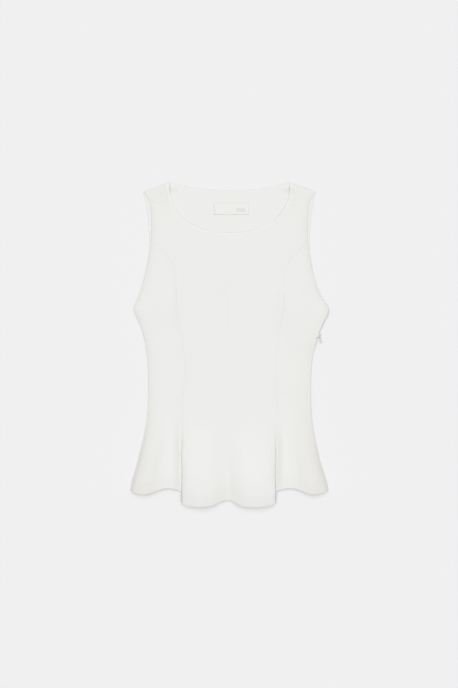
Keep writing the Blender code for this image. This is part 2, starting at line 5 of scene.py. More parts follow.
import bpy
import numpy as np
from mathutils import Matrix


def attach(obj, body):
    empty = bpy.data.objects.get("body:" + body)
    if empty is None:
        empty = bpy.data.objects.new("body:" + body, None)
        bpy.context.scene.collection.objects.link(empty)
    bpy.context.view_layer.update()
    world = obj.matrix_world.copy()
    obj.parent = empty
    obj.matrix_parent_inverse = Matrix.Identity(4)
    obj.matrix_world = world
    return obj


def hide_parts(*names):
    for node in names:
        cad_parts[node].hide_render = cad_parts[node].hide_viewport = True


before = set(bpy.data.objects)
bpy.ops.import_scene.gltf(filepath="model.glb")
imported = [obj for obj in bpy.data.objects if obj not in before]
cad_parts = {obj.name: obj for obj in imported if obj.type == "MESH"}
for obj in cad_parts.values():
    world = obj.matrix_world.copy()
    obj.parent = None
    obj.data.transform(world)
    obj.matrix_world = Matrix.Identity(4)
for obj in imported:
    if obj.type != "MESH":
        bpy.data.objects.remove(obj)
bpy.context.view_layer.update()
print("frame loaded:", sorted(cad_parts))

layout = dict(
    toMetres=0.001,
    shift=(0.324, -1.997, 0.0),  # puts the layout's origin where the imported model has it
)

# The cut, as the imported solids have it

body = dict(
    shoulderY=326.0,
    tipY=307.0,
    underarmY=72.0,
    foldsStartY=-120.0,
    shoulderX=120.5,
    neckHalf=122.0,
    neckDepth=101.5,
    neckRound=2.3,
    neckCornerX=88.0,
    backNeckDrop=16.4,
    seamTopY=206.0,
    backMid=0.37,
    frontMid=1.18,
    neckClose=22.0,
    loft=5.1,
    edgeRound=11.5,
)

# y, front left, front right, back left, back right
armholes = np.array([
    (72.0, -193.0, 199.0, -193.0, 199.0),
    (92.0, -185.0, 186.2, -185.0, 186.2),
    (112.0, -177.4, 176.6, -177.4, 176.6),
    (134.0, -171.0, 169.8, -171.0, 169.8),
    (158.0, -165.4, 163.6, -166.0, 164.0),
    (182.0, -160.4, 159.0, -161.8, 160.6),
    (206.0, -157.4, 156.2, -160.4, 159.4),
    (228.0, -156.6, 155.4, -161.0, 159.8),
    (252.0, -156.6, 155.8, -162.8, 161.6),
    (272.0, -157.8, 157.2, -165.8, 164.2),
    (286.0, -160.0, 159.4, -168.4, 166.6),
    (296.0, -164.6, 163.8, -170.4, 169.0),
    (307.0, -171.0, 171.0, -172.2, 171.6),
])

# y, left, right
sideSeams = np.array([
    (-290.0, -198.4, 196.8),
    (-268.0, -193.8, 192.0),
    (-236.0, -184.6, 181.8),
    (-200.0, -175.6, 173.4),
    (-164.0, -168.0, 166.6),
    (-132.0, -164.0, 162.6),
    (-98.0, -162.6, 161.4),
    (-58.0, -162.8, 161.8),
    (-24.0, -165.0, 165.0),
    (4.0, -169.0, 172.0),
    (28.0, -175.2, 181.0),
    (48.0, -182.6, 190.0),
    (64.0, -190.0, 197.4),
    (72.0, -193.0, 199.0),
])

# y, left, right
princessSeams = np.array([
    (-314.0, -97.0, 92.0),
    (-260.0, -98.6, 94.0),
    (-218.0, -100.8, 95.8),
    (-168.0, -98.6, 95.6),
    (-128.0, -94.4, 93.6),
    (-78.0, -91.0, 91.6),
    (-32.0, -91.0, 91.6),
    (-4.0, -92.4, 92.8),
    (20.0, -95.6, 96.0),
    (44.0, -100.4, 100.6),
    (72.0, -105.0, 105.6),
    (106.0, -106.4, 107.0),
    (136.0, -108.6, 109.0),
    (156.0, -113.6, 114.0),
    (172.0, -122.0, 122.0),
    (186.0, -134.0, 135.0),
    (197.0, -147.0, 147.0),
    (206.0, -157.4, 156.2),
])

# Where the front's hem lies: x, y, z, share of the panel's width at the waist
leftHem = np.array([
    (-198.4, -290.0, 1.25, 0),
    (-192.0, -293.0, 7.0, 0.07),
    (-182.0, -296.2, 11.6, 0.17),
    (-175.0, -297.0, 13.4, 0.24),
    (-168.0, -296.7, 13.6, 0.31),
    (-160.0, -295.0, 12.2, 0.4),
    (-150.0, -291.6, 9.6, 0.5),
    (-141.0, -288.4, 7.6, 0.58),
    (-130.0, -285.6, 6.8, 0.66),
    (-120.0, -285.3, 6.9, 0.735),
    (-112.0, -286.4, 6.5, 0.8),
    (-105.0, -288.2, 6.1, 0.855),
    (-99.0, -290.2, 5.8, 0.9),
    (-92.0, -292.6, 5.2, 0.945),
    (-88.5, -294.0, 4.9, 0.965),
    (-86.3, -296.0, 5.1, 0.985),
    (-85.4, -298.0, 5.7, 1),
])
middleHem = np.array([
    (-85.4, -298.0, 5.7, 0),
    (-86.3, -300.0, 6.3, 0.006),
    (-88.5, -302.0, 6.6, 0.014),
    (-92.0, -304.6, 6.8, 0.026),
    (-95.2, -307.6, 6.9, 0.037),
    (-96.0, -310.6, 7.5, 0.044),
    (-93.8, -315.0, 9.0, 0.058),
    (-88.8, -318.2, 11.5, 0.082),
    (-81.4, -320.0, 13.9, 0.112),
    (-73.0, -321.0, 16.0, 0.145),
    (-60.0, -321.6, 17.6, 0.21),
    (-47.0, -320.8, 17.5, 0.27),
    (-38.0, -319.6, 16.6, 0.31),
    (-31.0, -317.4, 14.7, 0.346),
    (-24.0, -314.0, 12.2, 0.38),
    (-18.0, -311.6, 9.8, 0.41),
    (-12.0, -309.6, 7.8, 0.44),
    (-7.0, -308.8, 6.1, 0.465),
    (-3.0, -308.5, 5.7, 0.485),
    (1.0, -308.8, 6.3, 0.505),
    (6.0, -310.4, 8.4, 0.53),
    (12.0, -314.0, 10.9, 0.56),
    (19.0, -318.4, 13.4, 0.6),
    (27.0, -320.6, 15.7, 0.643),
    (36.0, -321.6, 17.0, 0.688),
    (54.0, -321.8, 17.9, 0.776),
    (69.0, -321.0, 16.0, 0.855),
    (77.4, -320.0, 13.9, 0.889),
    (84.8, -318.2, 11.5, 0.919),
    (89.8, -314.8, 9.0, 0.943),
    (92.0, -310.2, 7.5, 0.957),
    (91.2, -307.2, 6.9, 0.964),
    (88.0, -304.4, 6.8, 0.974),
    (84.5, -301.6, 6.6, 0.986),
    (82.3, -300.0, 6.3, 0.994),
    (81.4, -298.0, 5.7, 1),
])
rightHem = np.array([
    (81.4, -298.0, 5.7, 0),
    (82.3, -296.0, 5.1, 0.015),
    (84.5, -294.0, 4.9, 0.035),
    (88.0, -292.6, 5.2, 0.055),
    (95.0, -290.2, 5.8, 0.1),
    (101.0, -288.2, 6.1, 0.145),
    (108.0, -286.4, 6.5, 0.2),
    (116.0, -285.1, 6.9, 0.265),
    (126.0, -285.0, 6.8, 0.34),
    (137.0, -287.6, 7.6, 0.42),
    (146.0, -291.2, 9.6, 0.5),
    (156.0, -295.0, 12.2, 0.6),
    (164.0, -296.7, 13.6, 0.69),
    (172.0, -296.8, 13.4, 0.76),
    (180.0, -295.6, 11.6, 0.83),
    (190.0, -292.6, 7.0, 0.93),
    (196.8, -290.0, 1.25, 1),
])

bust = dict(x=118.0, y=84.0, height=5.5, tall=48.0, inner=20.0, outer=42.0)

sideZip = dict(
    endY=-118.0,
    endBelow=42.0,
    endOver=40.0,
    sliderY=19.5,
    shows=2.2,  # of the tapes, beside the cloth's edge
    showsFrom=11.0,  # below the slider
    showsOver=6.0,
    topAbove=10.0,  # above the underarm
    topOver=12.0,
    hidden=1.4,  # from the outline in to the closed zip
    closedTo=6.0,  # above the slider
    closedOver=12.0,
    keeps=0.55,  # of the front's loft, at the open edge
    keepsClosed=0.21,
    keepsFromY=-14.0,
    keepsOver=26.0,
    armOver=24.0,
)


def through(knots, values, at):
    # cubic pieces through the rows, each row's slope taken from its neighbours
    knots, values = np.asarray(knots, float), np.asarray(values, float)
    at = np.clip(np.asarray(at, float), knots[0], knots[-1])
    slope = np.gradient(values, knots, axis=0)
    i = np.clip(np.searchsorted(knots, at, side="right") - 1, 0, len(knots) - 2)
    width = knots[i + 1] - knots[i]
    u = (at - knots[i]) / width
    if values.ndim > 1:
        width, u = width[..., None], u[..., None]
    start, end = u * u * (2 * u - 3) + 1, u * u * (3 - 2 * u)
    lead, tail = u * (1 - u) ** 2 * width, u * u * (u - 1) * width
    return start * values[i] + end * values[i + 1] + lead * slope[i] + tail * slope[i + 1]


def ease(x):
    x = np.clip(x, 0, 1)
    return x * x * (3 - 2 * x)


def bell(distance, width):
    return np.exp(-((distance / width) ** 2))


def outline(y, armColumn, sideColumn):
    # the armhole's table above the underarm, the side seam's below it
    y = np.asarray(y, float)
    above = through(armholes[:, 0], armholes[:, armColumn], y)
    below = through(sideSeams[:, 0], sideSeams[:, sideColumn], y)
    return np.where(y > body["underarmY"], above, below)


def zipEdge(y):
    # on the outline along the opening, and just inside it from the slider down
    y = np.asarray(y, float)
    closed = 1 - ease((y - sideZip["sliderY"] - sideZip["closedTo"]) / sideZip["closedOver"])
    return through(sideSeams[:, 0], sideSeams[:, 2], y) - sideZip["hidden"] * closed


def zipShows(y):
    y = np.asarray(y, float)
    low = ease((y - sideZip["sliderY"] + sideZip["showsFrom"]) / sideZip["showsOver"])
    high = ease((body["underarmY"] + sideZip["topAbove"] - y) / sideZip["topOver"])
    return sideZip["shows"] * low * high


def leftEdge(y):
    return outline(y, 1, 1)


def rightEdge(y):
    return outline(y, 2, 2) - zipShows(y)


def seamX(y, side):
    return through(princessSeams[:, 0], princessSeams[:, side], y)


def middleEdge(y, side):
    y = np.asarray(y, float)
    edge = leftEdge(y) if side == 1 else rightEdge(y)
    return np.where(y < body["seamTopY"], seamX(y, side), edge)


def neckY(x):
    # a rounded scoop: a superellipse of the neck's half width and depth
    across = np.clip(np.abs(x) / body["neckHalf"], 0, 1)
    scoop = (1 - across ** body["neckRound"]) ** (1 / body["neckRound"])
    return body["shoulderY"] - body["neckDepth"] * scoop


def neckX(y):
    down = np.clip((body["shoulderY"] - y) / body["neckDepth"], 0, 1)
    return body["neckHalf"] * (1 - down ** body["neckRound"]) ** (1 / body["neckRound"])


def shoulderY(x):
    reach = abs(armholes[-1, 1])
    rise = (body["shoulderY"] - body["tipY"]) / (reach - body["shoulderX"])
    return body["tipY"] + (reach - np.abs(x)) * rise


def neckDistance(x, y):
    # about how far out from the scoop a point lies
    down = np.clip(body["shoulderY"] - y, 0, None) / body["neckDepth"]
    power = body["neckRound"]
    scoop = ((np.abs(x) / body["neckHalf"]) ** power + down**power) ** (1 / power)
    return np.clip(scoop - 1, 0, None) * body["neckDepth"]


def awayFromNeck(x, y):
    # 0 along the neckline, where the front lies close on the back, rising to 1 away from it
    return 1 - bell(neckDistance(x, y), body["neckClose"])


def frontHeight(x, y):
    # the front's loft over the back, down to nothing at its sewn edges, and fuller over the bust
    fromLeft = np.clip(x - leftEdge(y), 0, None)
    fromRight = np.clip(rightEdge(y) - x, 0, None)
    fromTop = np.clip(shoulderY(x) - y, 0, None)
    f = sideZip
    opened = ease((y - f["keepsFromY"]) / f["keepsOver"])
    zipped = f["keepsClosed"] + (f["keeps"] - f["keepsClosed"]) * opened
    zipped = zipped * ease((y - f["endY"] + f["endBelow"]) / f["endOver"])
    zipped = zipped * ease((body["underarmY"] + f["armOver"] - y) / f["armOver"])
    left = 1 - np.exp(-fromLeft / body["edgeRound"])
    right = 1 - (1 - zipped) * np.exp(-fromRight / body["edgeRound"])
    top = 1 - np.exp(-fromTop / body["edgeRound"])
    off = np.abs(x) - bust["x"]
    spread = np.where(off < 0, bust["inner"], bust["outer"])
    full = bust["height"] * np.exp(-((off / spread) ** 2) - ((y - bust["y"]) / bust["tall"]) ** 2)
    return body["frontMid"] + (body["loft"] * awayFromNeck(x, y) + full) * left * right * top


# Fine form: creases, seams, hem, and the cloth's own unevenness

# x and y at one end, x and y at the other, bow to one side, half width, depth (below 0 is a trough)
creases = np.array([
    (-7.0, 148.0, -6.0, -12.0, 1.0, 4.5, -0.80),
    (-70.0, 132.0, -66.0, 62.0, -3.0, 5.0, -0.40),
    (56.0, 168.0, 60.0, 96.0, 2.0, 5.0, -0.35),
    (-158.0, 287.0, -136.0, 278.0, 1.0, 3.6, -0.70),
    (-143.0, 258.0, -153.0, 243.0, 1.0, 3.5, -0.40),
    (141.0, 258.0, 152.0, 243.0, -1.0, 3.5, -0.40),
    (-133.5, 320.0, -134.0, 296.0, 0.5, 2.6, -1.30),
    (127.5, 320.0, 128.0, 296.0, -0.5, 2.6, -1.30),
    (94.0, -96.0, 114.0, -100.0, 1.0, 3.0, -0.35),
])


def creaseHeight(x, y, table):
    # each crease: a bell across its bowed line, fading to both ends, with a faint lip on each side
    height = np.zeros_like(x)
    for x0, y0, x1, y1, bow, width, depth in table:
        dx, dy = x1 - x0, y1 - y0
        length = np.hypot(dx, dy)
        along = ((x - x0) * dx + (y - y0) * dy) / length**2
        across = ((x - x0) * dy - (y - y0) * dx) / length - bow * (1 - (2 * along - 1) ** 2)
        ends = ease((along + 0.15) / 0.45) * ease((1.15 - along) / 0.45)
        lip = bell(across - 2.1 * width, width) + bell(across + 2.1 * width, width)
        height += depth * ends * (bell(across, width) - 0.3 * lip)
    return height


def softWaves(x, y, seed, longest, shortest, count):
    # a sum of plane waves with random turns and phases, scaled to about one
    rng = np.random.default_rng(seed)
    size = np.exp(rng.uniform(np.log(shortest), np.log(longest), count))
    turn = rng.uniform(0, 2 * pi, count)
    phase = rng.uniform(0, 2 * pi, count)
    total = np.zeros_like(x)
    for s, t, p in zip(size, turn, phase):
        total += np.cos(2 * pi * (x * np.cos(t) + 0.55 * y * np.sin(t)) / s + p) * s / longest
    return total / np.sqrt(count / 2)


frontForm = dict(
    bodyRows=142,
    foldRowStep=2.3,
    foldSpread=0.95,  # powers of the way down from where the folds start
    foldRise=1.15,
    straightOver=30.0,
    seamDitch=0.3,
    seamDitchWide=2.8,
    seamSwell=0.12,
    seamSwellAt=7.0,
    seamSwellWide=4.0,
    seamTopOver=6.0,
    seamFaint=0.35,  # share of the relief that is left over the bust
    seamFullFrom=170.0,
    seamFullOver=50.0,
    pucker=0.1,
    puckerEvery=11.0,
    puckerSway=2.2,
    puckerSwayEvery=17.0,
    puckerAt=1.5,
    puckerWide=5.0,
    valley=1.7,  # the soft hollow along each seam where the folds begin
    valleyWide=8.5,
    valleyFromY=-122.0,
    valleyOver=70.0,
    valleyEndY=-300.0,
    valleyEndOver=60.0,
    hemDeep=24.0,
    hemStep=0.22,
    hemStepOver=1.6,
    hemRoll=0.15,
    hemRollWide=1.4,
    hemDroop=3.4,  # at the crests
    hemDroopDeep=26.0,
    hemDroopFromZ=5.0,
    hemDroopOverZ=12.0,
    neckRoll=0.22,
    neckRollAt=1.5,
    neckRollWide=1.6,
    neckStitch=0.8,  # share of the roll
    neckStitchAt=5.0,
    neckStitchWide=1.3,
    cornerX=122.0,
    cornerY=313.0,
    cornerLift=2.2,
    cornerWide=8.0,
    uneven=0.45,
    unevenWaves=dict(seed=5, longest=90.0, shortest=26.0, count=14),
    calmHemFrom=2.0,
    calmHemOver=20.0,
    calmEdgeOver=14.0,
)


def frontDetail(x, y, fromHem):
    f = frontForm
    height = creaseHeight(x, y, creases)
    for side in (1, 2):
        off = np.abs(x - seamX(y, side))
        full = ease((f["seamFullFrom"] - y) / f["seamFullOver"])
        inside = ease((body["seamTopY"] - y) / f["seamTopOver"])
        inside = inside * (f["seamFaint"] + (1 - f["seamFaint"]) * full)
        height -= f["seamDitch"] * bell(off, f["seamDitchWide"]) * inside
        height += f["seamSwell"] * bell(off - f["seamSwellAt"], f["seamSwellWide"]) * inside
        sway = f["puckerSway"] * np.sin(y / f["puckerSwayEvery"] + side)
        wave = np.cos(2 * pi * y / f["puckerEvery"] + sway)
        height += f["pucker"] * wave * bell(off - f["puckerAt"], f["puckerWide"]) * inside
    height += f["hemStep"] * ease((f["hemDeep"] - fromHem) / f["hemStepOver"] + 0.5)
    height -= f["hemRoll"] * bell(fromHem, f["hemRollWide"])
    fromNeck = neckDistance(x, y)
    stitched = f["neckStitch"] * bell(fromNeck - f["neckStitchAt"], f["neckStitchWide"])
    height += f["neckRoll"] * (bell(fromNeck - f["neckRollAt"], f["neckRollWide"]) - stitched)
    fromCorner = np.hypot(np.abs(x) - f["cornerX"], y - f["cornerY"])
    height += f["cornerLift"] * bell(fromCorner, f["cornerWide"])
    calm = ease((fromHem - f["calmHemFrom"]) / f["calmHemOver"])
    fromEdge = np.minimum(x - leftEdge(y), rightEdge(y) - x)
    calm = calm * ease(fromEdge / f["calmEdgeOver"]) * ease((shoulderY(x) - y) / f["calmEdgeOver"])
    return height + f["uneven"] * softWaves(x, y, **f["unevenWaves"]) * calm


# Cloth on a grid of rows

def hemPath(table):
    steps = np.diff(table[:, [0, 2]], axis=0)
    return np.concatenate([[0], np.cumsum(np.hypot(*steps.T))])


def finePlaces(length, step, edge=(0.0, 0.35, 0.9, 1.8)):
    # even steps, closer together next to both ends
    edge = np.array(edge)
    middle = np.linspace(edge[-1] + step, length - edge[-1] - step, max(2, int(length / step)))
    return np.concatenate([edge, middle, length - edge[::-1]])


def snapped(places, wanted):
    # moves the nearest places onto the wanted ones
    places = places.copy()
    found = [int(np.abs(places - w).argmin()) for w in wanted]
    places[found] = wanted
    return places, found


farFromHem = 999.0


def bodyRow(x, y):
    # a row above the folds, marked as far from the hem
    return np.stack([x, y, frontHeight(x, y), np.full_like(x, farFromHem)], axis=1)


def panelRows(table, places, left, right):
    # rows of points from the hem up to the top of the seams, the hem's folds fading out upwards
    f = frontForm
    path = hemPath(table)
    hem = through(path, table[:, :3], places)
    share = np.interp(places, path, table[:, 3])

    def across(y):
        return left(y) + (right(y) - left(y)) * share

    rows = []
    high = body["foldsStartY"]
    longest = high - table[:, 1].min()
    raised = ease((hem[:, 2] - f["hemDroopFromZ"]) / f["hemDroopOverZ"])
    for fromHem in finePlaces(longest, f["foldRowStep"])[:-3]:
        drop = 1 - fromHem / longest
        y = high + (hem[:, 1] - high) * drop
        x = across(y) + drop ** f["foldSpread"] * (hem[:, 0] - across(hem[:, 1]))
        rise = drop ** f["foldRise"]
        z = frontHeight(across(y), y) * (1 - rise) + hem[:, 2] * rise
        z -= f["valley"] * seamHollow(x, y)
        z -= f["hemDroop"] * raised * np.clip(1 - fromHem / f["hemDroopDeep"], 0, 1) ** 2
        rows.append(np.stack([x, y, z, np.full_like(x, fromHem)], axis=1))
    for level in np.linspace(high, body["seamTopY"], f["bodyRows"]):
        y = np.full(len(places), level)
        rows.append(bodyRow(across(y), y))
    return np.array(rows), share


def seamHollow(x, y):
    f = frontForm
    off = np.minimum(np.abs(x - seamX(y, 1)), np.abs(x - seamX(y, 2)))
    begun = ease((f["valleyFromY"] - y) / f["valleyOver"])
    return bell(off, f["valleyWide"]) * begun * ease((y - f["valleyEndY"]) / f["valleyEndOver"])


def addDetail(rows):
    # moves a grid's points along its normals in the hem's folds, and straight up in the body
    points = rows[..., :3]
    along, upward = np.gradient(points, axis=1), np.gradient(points, axis=0)
    normal = np.cross(along, upward)
    normal /= np.maximum(np.linalg.norm(normal, axis=-1, keepdims=True), 1e-9)
    over = frontForm["straightOver"]
    straight = ease((points[..., 1] - body["foldsStartY"] + over) / over)[..., None]
    normal = normal * (1 - straight) + np.array([0, 0, 1]) * straight
    return points + normal * frontDetail(points[..., 0], points[..., 1], rows[..., 3])[..., None]


def cutLengths(points):
    # a flat-cut position for each point: distance along its row from the middle column, and up the column
    across = np.linalg.norm(np.diff(points, axis=1), axis=-1)
    across = np.concatenate([np.zeros((len(points), 1)), np.cumsum(across, axis=1)], axis=1)
    across -= across[:, across.shape[1] // 2][:, None]
    upward = np.linalg.norm(np.diff(points, axis=0), axis=-1)
    upward = np.concatenate([np.zeros((1, points.shape[1])), np.cumsum(upward, axis=0)])
    return np.stack([across, upward], axis=-1)


def gridFaces(count, width):
    i = np.arange((count - 1) * width).reshape(count - 1, width)[:, :-1].ravel()
    return np.stack([i, i + 1, i + 1 + width, i + width], axis=1)


def sewnWhole(blocks):
    # one surface from all blocks: points, faces, each face's panel, and each corner's place in the cut
    points, faces, panels, corners, start = [], [], [], [], 0
    for panel, grid, cut in blocks:
        own = gridFaces(*grid.shape[:2])
        points.append(grid.reshape(-1, 3))
        faces.append(own + start)
        panels.append(np.full(len(own), panel))
        corners.append(cut.reshape(-1, 2)[own])
        start += grid.shape[0] * grid.shape[1]
    points, faces = np.concatenate(points), np.concatenate(faces)
    merged, back = np.unique(np.round(points, 3), axis=0, return_inverse=True)
    faces = back.reshape(-1)[faces]
    return merged, faces, np.concatenate(panels), np.concatenate(corners)


def pointNormals(points, faces):
    a, b, c, d = (points[faces[:, k]] for k in range(4))
    flat = np.cross(c - a, d - b)
    normals = np.zeros_like(points)
    for k in range(4):
        np.add.at(normals, faces[:, k], flat)
    return normals / np.maximum(np.linalg.norm(normals, axis=1, keepdims=True), 1e-12)


def rimEdges(faces):
    # directed edges that only one face uses
    edges = np.concatenate([faces[:, [k, (k + 1) % 4]] for k in range(4)])
    edges = edges[edges[:, 0] != edges[:, 1]]
    both = np.sort(edges, axis=1)
    _, back, count = np.unique(both, axis=0, return_inverse=True, return_counts=True)
    return edges[count[back.reshape(-1)] == 1]


rimForm = dict(
    thin=0.62,  # share of the thickness that is left at a free edge
    reach=0.42,  # thicknesses that a free edge stands out
    pressWide=3.2,  # out from the neckline
)


def shell(name, points, faces, normals, corners, sewn, thick, material, pressed=0.0, paintedShading=1.0):
    # a wall of cloth round a surface: both faces moved out by half the thickness, and a rim that is
    # round where the edge is free and square where the next panel is sewn on
    used, faces = np.unique(faces, return_inverse=True)
    faces = faces.reshape(-1, 4)
    points, normals, sewn = points[used], normals[used], sewn[used]
    rim = rimEdges(faces)
    outward = np.zeros_like(points)
    side = np.cross(points[rim[:, 1]] - points[rim[:, 0]], normals[rim[:, 0]] + normals[rim[:, 1]])
    np.add.at(outward, rim[:, 0], side)
    np.add.at(outward, rim[:, 1], side)
    size = np.linalg.norm(outward, axis=1, keepdims=True)
    outward = np.where(size > 1e-9, outward / np.maximum(size, 1e-9), 0)
    half = np.full(len(points), thick / 2)
    onRim = np.unique(rim)
    half[onRim] *= np.where(sewn[onRim], 1.0, rimForm["thin"])
    half *= 1 - pressed * bell(neckDistance(points[:, 0], points[:, 1]), rimForm["pressWide"])
    top, low = points + normals * half[:, None], points - normals * half[:, None]
    reach = np.where(sewn[onRim], 0.0, thick * rimForm["reach"])
    edge = points[onRim] + outward[onRim] * reach[:, None]
    count = len(points)
    number = np.zeros(count, int)
    number[onRim] = 2 * count + np.arange(len(onRim))
    a, b = rim[:, 0], rim[:, 1]
    upperRim = np.stack([b, a, number[a], number[b]], axis=1)
    lowerRim = np.stack([number[b], number[a], a + count, b + count], axis=1)
    allFaces = np.concatenate([faces, faces[:, ::-1] + count, upperRim, lowerRim])
    rimCut = np.zeros((count, 2))
    rimCut[faces.ravel()] = corners.reshape(-1, 2)
    rimCut = np.concatenate([rimCut, rimCut, rimCut[onRim]])
    cuts = np.concatenate([corners, corners[:, ::-1], rimCut[upperRim], rimCut[lowerRim]])
    return meshFrom(name, np.concatenate([top, low, edge]), allFaces, cuts, material, paintedShading)


# where shade and highlight are painted into the crepe's colour, standing in for the light on its slopes,
# folds and edges
paintedShadeForm = dict(
    side=9.0,  # half widths in from the outline
    rightSide=34.0,
    rightFromY=80.0,
    rightOver=80.0,
    hem=48.0,
    hemFromY=-60.0,
    hemOver=220.0,
    sideShare=0.7,
    hemGain=(1.15, 1.4),  # left, right
    strap=0.65,
    strapFrom=215.0,
    strapFull=300.0,
    middleX=-3.0,
    fold=1.5,
    foldX=101.5,  # from middleX
    foldWide=6.0,
    foldFromY=-150.0,
    foldOver=60.0,
    trough=0.6,
    troughX=-4.0,
    troughWide=28.0,
    troughFromY=-238.0,
    troughOver=55.0,
    crestFromZ=8.5,
    crestOverZ=6.0,
    crestLower=3.5,  # by this much further up
    crestLowerFromY=-280.0,
    crestLowerOver=130.0,
    sideCrest=0.9,
    sideCrestX=117.5,
    sideCrestWide=11.0,
    paleFromY=-105.0,
    paleOver=80.0,
    paleEndY=-300.0,
    paleEndOver=60.0,
    neck=1.8,
    neckWide=2.6,
)


def paintedShadeAndLight(x, y, z):
    # above 0 for painted shade, where the cloth is drawn darker: along both sides, wider and stronger
    # towards the hem,
    # on the straps, beside the folds' outer edges and in the middle trough;
    # below 0 for painted highlight, where it is drawn paler: on the raised folds and along the neckline
    t = paintedShadeForm
    low = ease((t["hemFromY"] - y) / t["hemOver"])
    broad = t["side"] + (t["rightSide"] - t["side"]) * ease((t["rightFromY"] - y) / t["rightOver"])
    deep = t["strap"] * ease((y - t["strapFrom"]) / (t["strapFull"] - t["strapFrom"]))
    for away, wide, gain in ((x - leftEdge(y), t["side"], 0), (rightEdge(y) - x, broad, 1)):
        reach = bell(np.clip(away, 0, None), wide + (t["hem"] - wide) * low)
        deep = np.maximum(deep, reach * (t["sideShare"] + (t["hemGain"][gain] - t["sideShare"]) * low))
    across = np.abs(x - t["middleX"])
    fold = t["fold"] * bell(across - t["foldX"], t["foldWide"])
    trough = t["trough"] * bell(x - t["troughX"], t["troughWide"])
    deep = np.maximum(deep, fold * ease((t["foldFromY"] - y) / t["foldOver"]))
    deep = np.maximum(deep, trough * ease((t["troughFromY"] - y) / t["troughOver"]))
    lower = t["crestLower"] * ease((y - t["crestLowerFromY"]) / t["crestLowerOver"])
    raised = ease((z - t["crestFromZ"] + lower) / t["crestOverZ"])
    raised = np.maximum(raised, t["sideCrest"] * bell(across - t["sideCrestX"], t["sideCrestWide"]))
    pale = raised * ease((t["paleFromY"] - y) / t["paleOver"]) * ease((y - t["paleEndY"]) / t["paleEndOver"])
    neck = t["neck"] * bell(neckDistance(x, y), t["neckWide"])
    return deep - np.maximum(pale * np.clip(1 - deep, 0, 1), neck)


def placed(name, data):
    obj = bpy.data.objects.new(name, data)
    bpy.context.scene.collection.objects.link(obj)
    return obj


def meshFrom(name, points, faces, cuts, material, paintedShading=0.0):
    # quads whose corners may repeat become triangles, and faces with no area go
    place = (points + np.array(layout["shift"])) * layout["toMetres"]
    same = np.stack([faces[:, k] == faces[:, (k + 1) % 4] for k in range(4)], axis=1)
    keep = same.sum(axis=1) < 2
    faces, cuts, same = faces[keep], cuts[keep], same[keep]
    loops = faces[~same]
    sizes = (~same).sum(axis=1)
    starts = np.concatenate([[0], np.cumsum(sizes)[:-1]])
    mesh = bpy.data.meshes.new(name)
    mesh.vertices.add(len(place))
    mesh.vertices.foreach_set("co", place.astype(np.float32).ravel())
    mesh.loops.add(len(loops))
    mesh.loops.foreach_set("vertex_index", loops.astype(np.int32))
    mesh.polygons.add(len(faces))
    mesh.polygons.foreach_set("loop_start", starts.astype(np.int32))
    mesh.update(calc_edges=True)
    cut = mesh.uv_layers.new(name="cut")
    cut.data.foreach_set("uv", (cuts[~same] * layout["toMetres"]).astype(np.float32).ravel())
    # the depth attribute carries the painted shade and highlight that the crepe mixes into its colour
    depth = mesh.attributes.new("depth", "FLOAT", "POINT")
    depth.data.foreach_set("value", (paintedShading * paintedShadeAndLight(*points.T)).astype(np.float32))
    mesh.validate()
    mesh.shade_smooth()
    mesh.materials.append(material)
    return placed(name, mesh)


def sheetShell(name, points, thick, material, paintedShading=1.0):
    # a thin wall round one grid of points
    merged, faces, _, corners = sewnWhole([(0, points, cutLengths(points))])
    normals, sewn = pointNormals(merged, faces), np.zeros(len(merged), bool)
    return shell(name, merged, faces, normals, corners, sewn, thick, material, 0.0, paintedShading)


# Materials

def newGroup(name, inputs, outputs):
    group = bpy.data.node_groups.new(name, "ShaderNodeTree")
    for label, kind, value in inputs:
        socket = group.interface.new_socket(label, in_out="INPUT", socket_type=kind)
        if value is not None:
            socket.default_value = value
    for label, kind in outputs:
        group.interface.new_socket(label, in_out="OUTPUT", socket_type=kind)
    return group, group.nodes.new("NodeGroupInput"), group.nodes.new("NodeGroupOutput")


def plug(tree, made, sockets):
    # each socket takes a link or a value
    for key, value in sockets.items():
        if isinstance(value, bpy.types.NodeSocket):
            tree.links.new(value, made.inputs[key])
        else:
            made.inputs[key].default_value = value


def node(tree, kind, values=None, **sockets):
    # sockets called i0, i1 and so on are found by their number
    made = tree.nodes.new(kind)
    for key, value in (values or {}).items():
        setattr(made, key, value)
    plug(tree, made, {int(key[1:]) if key[1:].isdigit() else key: value for key, value in sockets.items()})
    return made


def maths(tree, operation, a, b=0.0, c=0.0):
    return node(tree, "ShaderNodeMath", dict(operation=operation), i0=a, i1=b, i2=c).outputs[0]


def noise(tree, place, scale, detail, flat=False, **more):
    kind = dict(noise_dimensions="2D" if flat else "3D")
    more.update(Vector=place, Scale=scale, Detail=detail)
    return node(tree, "ShaderNodeTexNoise", kind, **more).outputs[0]


def blend(tree, amount, first, second, kind="MIX"):
    settings = dict(data_type="RGBA", blend_type=kind)
    return node(tree, "ShaderNodeMix", settings, i0=amount, i6=first, i7=second).outputs[2]


def bumps(tree, strength, distance, height):
    return node(tree, "ShaderNodeBump", None, Strength=strength, Distance=distance, Height=height).outputs[0]


def smoothStep(tree, value, start, end, before, after):
    kind = dict(interpolation_type="SMOOTHSTEP")
    limits = dict(i1=start, i2=end, i3=before, i4=after)
    return node(tree, "ShaderNodeMapRange", kind, Value=value, **limits).outputs[0]


def cutPlace(tree):
    return node(tree, "ShaderNodeUVMap", dict(uv_map="cut")).outputs[0]


def objectPlace(tree):
    return node(tree, "ShaderNodeTexCoord").outputs["Object"]


